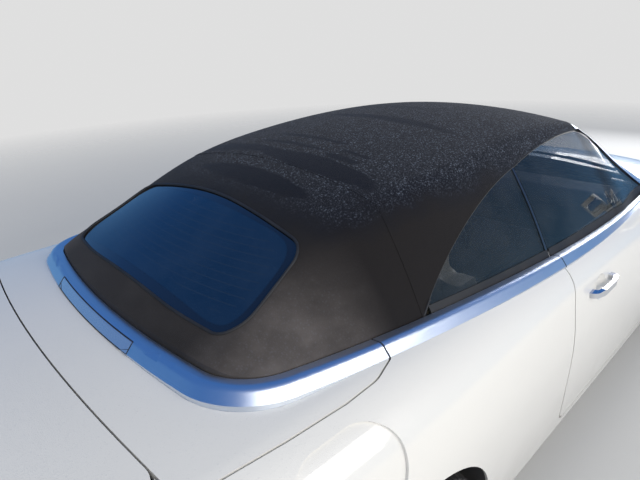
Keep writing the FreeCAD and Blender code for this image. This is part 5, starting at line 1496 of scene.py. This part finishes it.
class CONVERTIBLE_OT_underside(bpy.types.Operator):
    """Floor, engine, exhaust and suspension metals"""

    bl_idname = "convertible.underside"
    bl_label = "Underside"

    def execute(self, context):
        coat = plastic("Underbody coat", (0.028, 0.028, 0.030), 0.7, 1.0, 0.9)
        for node in ("floor_pan", "boot_well", "front_frame"):
            stand_in(node, node + "_structure", coat, 30)
        iron = cast_metal("Cast iron", (0.22, 0.22, 0.23))
        steel = cast_metal("Dull steel", (0.30, 0.30, 0.31), 0.45)
        stand_in("engine", "engine_block", iron)
        stand_in("exhaust", "exhaust_pipes", steel)
        for side, s in SIDES:
            x, y, z = TAILPIPE_END
            tip = ring((x, s * y, z), 0.034, 0.0032, 48, 10)
            finish_piece(tip, "tailpipe_tip_" + side, "body", chrome(), 60)
        for node in ("front_suspension", "rear_suspension"):
            stand_in(node, node + "_arms", steel)
        for side, _ in SIDES:
            stand_in("knuckle_" + side, "hub_carrier_" + side, iron)
        return {"FINISHED"}


# Stage

# Name, place, width and height, power, colour and the point that it faces
LIGHTS = (
    ("Key", (-1.2, -7.0, 4.1), (9.0, 4.4), 495, (1.0, 0.965, 0.90), (-0.3, 0, 0.8)),
    ("Fill", (-5.0, 4.5, 5.0), (5.0, 5.0), 70, (1.0, 1.0, 1.0), (-0.5, 0, 0.6)),
    ("Front", (6.5, 0.5, 2.6), (3.0, 3.0), 170, (1.0, 1.0, 1.0), (0.5, 0, 0.6)),
)

# The camera's own directions
CAMERA_RIGHT = (0.732, -0.680, -0.046)
CAMERA_UP = (0.294, 0.254, 0.921)
CAMERA_AHEAD = (0.615, 0.688, -0.386)


class CONVERTIBLE_OT_stage(bpy.types.Operator):
    """Pale floor, soft studio lights and the camera"""

    bl_idname = "convertible.stage"
    bl_label = "Stage"

    def execute(self, context):
        scene = context.scene
        sizes = scene.convertible_sizes
        bpy.ops.mesh.primitive_plane_add(size=60, location=(0, 0, 0))
        floor = context.active_object
        floor.name = "floor"

        def ground(g):
            place = g.object_place()
            cloud = g.noise(place, 0.6, 3.0)
            grit = g.noise(place, 60.0, 3.0)
            reach = g.add("ShaderNodeVectorMath", {0: place}, operation="LENGTH").outputs["Value"]
            return {
                "Base Color": g.mix(cloud, (0.60, 0.60, 0.60), (0.64, 0.64, 0.635)),
                "Alpha": g.span(reach, 4.0, 11.0, 1.0, 0.0),
                "Normal": g.bump(grit, 0.15, 0.001),
            }

        floor.data.materials.append(material("Pale floor", (0.62, 0.62, 0.62), {"Roughness": 0.9}, ground))

        world = bpy.data.worlds.new("Studio")
        scene.world = world
        world.use_nodes = True
        graph = Graph(world.node_tree)
        place = graph.add("ShaderNodeTexCoord").outputs["Generated"]
        height = graph.split(place)["Z"]
        soft = graph.mix(graph.span(height, -0.1, 0.7), (0.55, 0.55, 0.55), (0.35, 0.39, 0.46))
        sky = graph.mix(graph.span(height, 0.0, 0.42), (0.13, 0.32, 0.60), (0.035, 0.14, 0.42))
        seen = graph.add("ShaderNodeLightPath").outputs
        lit = graph.mix(seen["Is Glossy Ray"], soft, sky)
        straight = graph.math("MAXIMUM", seen["Is Camera Ray"], seen["Is Transmission Ray"])
        background = graph.nodes["Background"].inputs
        graph.links.new(graph.mix(straight, lit, (0.74, 0.74, 0.74)), background["Color"])
        background["Strength"].default_value = 1.0

        for name, place, size, power, colour, aim in LIGHTS:
            bpy.ops.object.light_add(type="AREA", location=place)
            lamp = context.active_object
            lamp.name = name
            lamp.data.shape = "RECTANGLE"
            lamp.data.size, lamp.data.size_y = size
            lamp.data.energy = power
            lamp.data.color = colour
            lamp.visible_glossy = name != "Fill"
            lamp.rotation_euler = (Vector(aim) - Vector(place)).to_track_quat("-Z", "Y").to_euler()

        camera = bpy.data.cameras.new("Camera")
        camera.lens = sizes.camera_lens
        camera.sensor_width = 36
        camera.clip_end = 200
        stand = bpy.data.objects.new("Camera", camera)
        scene.collection.objects.link(stand)
        turn = Matrix((Vector(CAMERA_RIGHT), Vector(CAMERA_UP), -Vector(CAMERA_AHEAD))).transposed()
        stand.matrix_world = Matrix.Translation(sizes.camera_place) @ turn.to_4x4()
        scene.camera = stand
        scene.view_settings.view_transform = "Standard"
        return {"FINISHED"}


STEPS = (
    CONVERTIBLE_OT_stage,
    CONVERTIBLE_OT_bodywork,
    CONVERTIBLE_OT_fabric_top,
    CONVERTIBLE_OT_glazing,
    CONVERTIBLE_OT_brightwork,
    CONVERTIBLE_OT_lamps_and_grille,
    CONVERTIBLE_OT_wheels,
    CONVERTIBLE_OT_seats,
    CONVERTIBLE_OT_cabin,
    CONVERTIBLE_OT_underside,
)


class CONVERTIBLE_PT_sidebar(bpy.types.Panel):
    """Lists the car's sizes, colours and pieces"""

    bl_idname = "CONVERTIBLE_PT_sidebar"
    bl_label = "Convertible"
    bl_space_type = "VIEW_3D"
    bl_region_type = "UI"
    bl_category = "Convertible"

    def draw(self, context):
        for settings in (context.scene.convertible_finish, context.scene.convertible_sizes):
            column = self.layout.column(align=True)
            for key in settings.__annotations__:
                column.prop(settings, key)
        for step in STEPS:
            self.layout.operator(step.bl_idname)


CLASSES = (ConvertibleFinish, ConvertibleSizes, *STEPS, CONVERTIBLE_PT_sidebar)


def register():
    """Registers the classes and puts the sizes and colours on the scene."""
    for kind in CLASSES:
        bpy.utils.register_class(kind)
    bpy.types.Scene.convertible_finish = bpy.props.PointerProperty(type=ConvertibleFinish)
    bpy.types.Scene.convertible_sizes = bpy.props.PointerProperty(type=ConvertibleSizes)


def unregister():
    """Takes back what register did."""
    del bpy.types.Scene.convertible_sizes
    del bpy.types.Scene.convertible_finish
    for kind in reversed(CLASSES):
        bpy.utils.unregister_class(kind)


def main():
    """Builds the car step by step."""
    register()
    for step in STEPS:
        area, name = step.bl_idname.split(".")
        getattr(getattr(bpy.ops, area), name)()


if __name__ == "__main__":
    main()
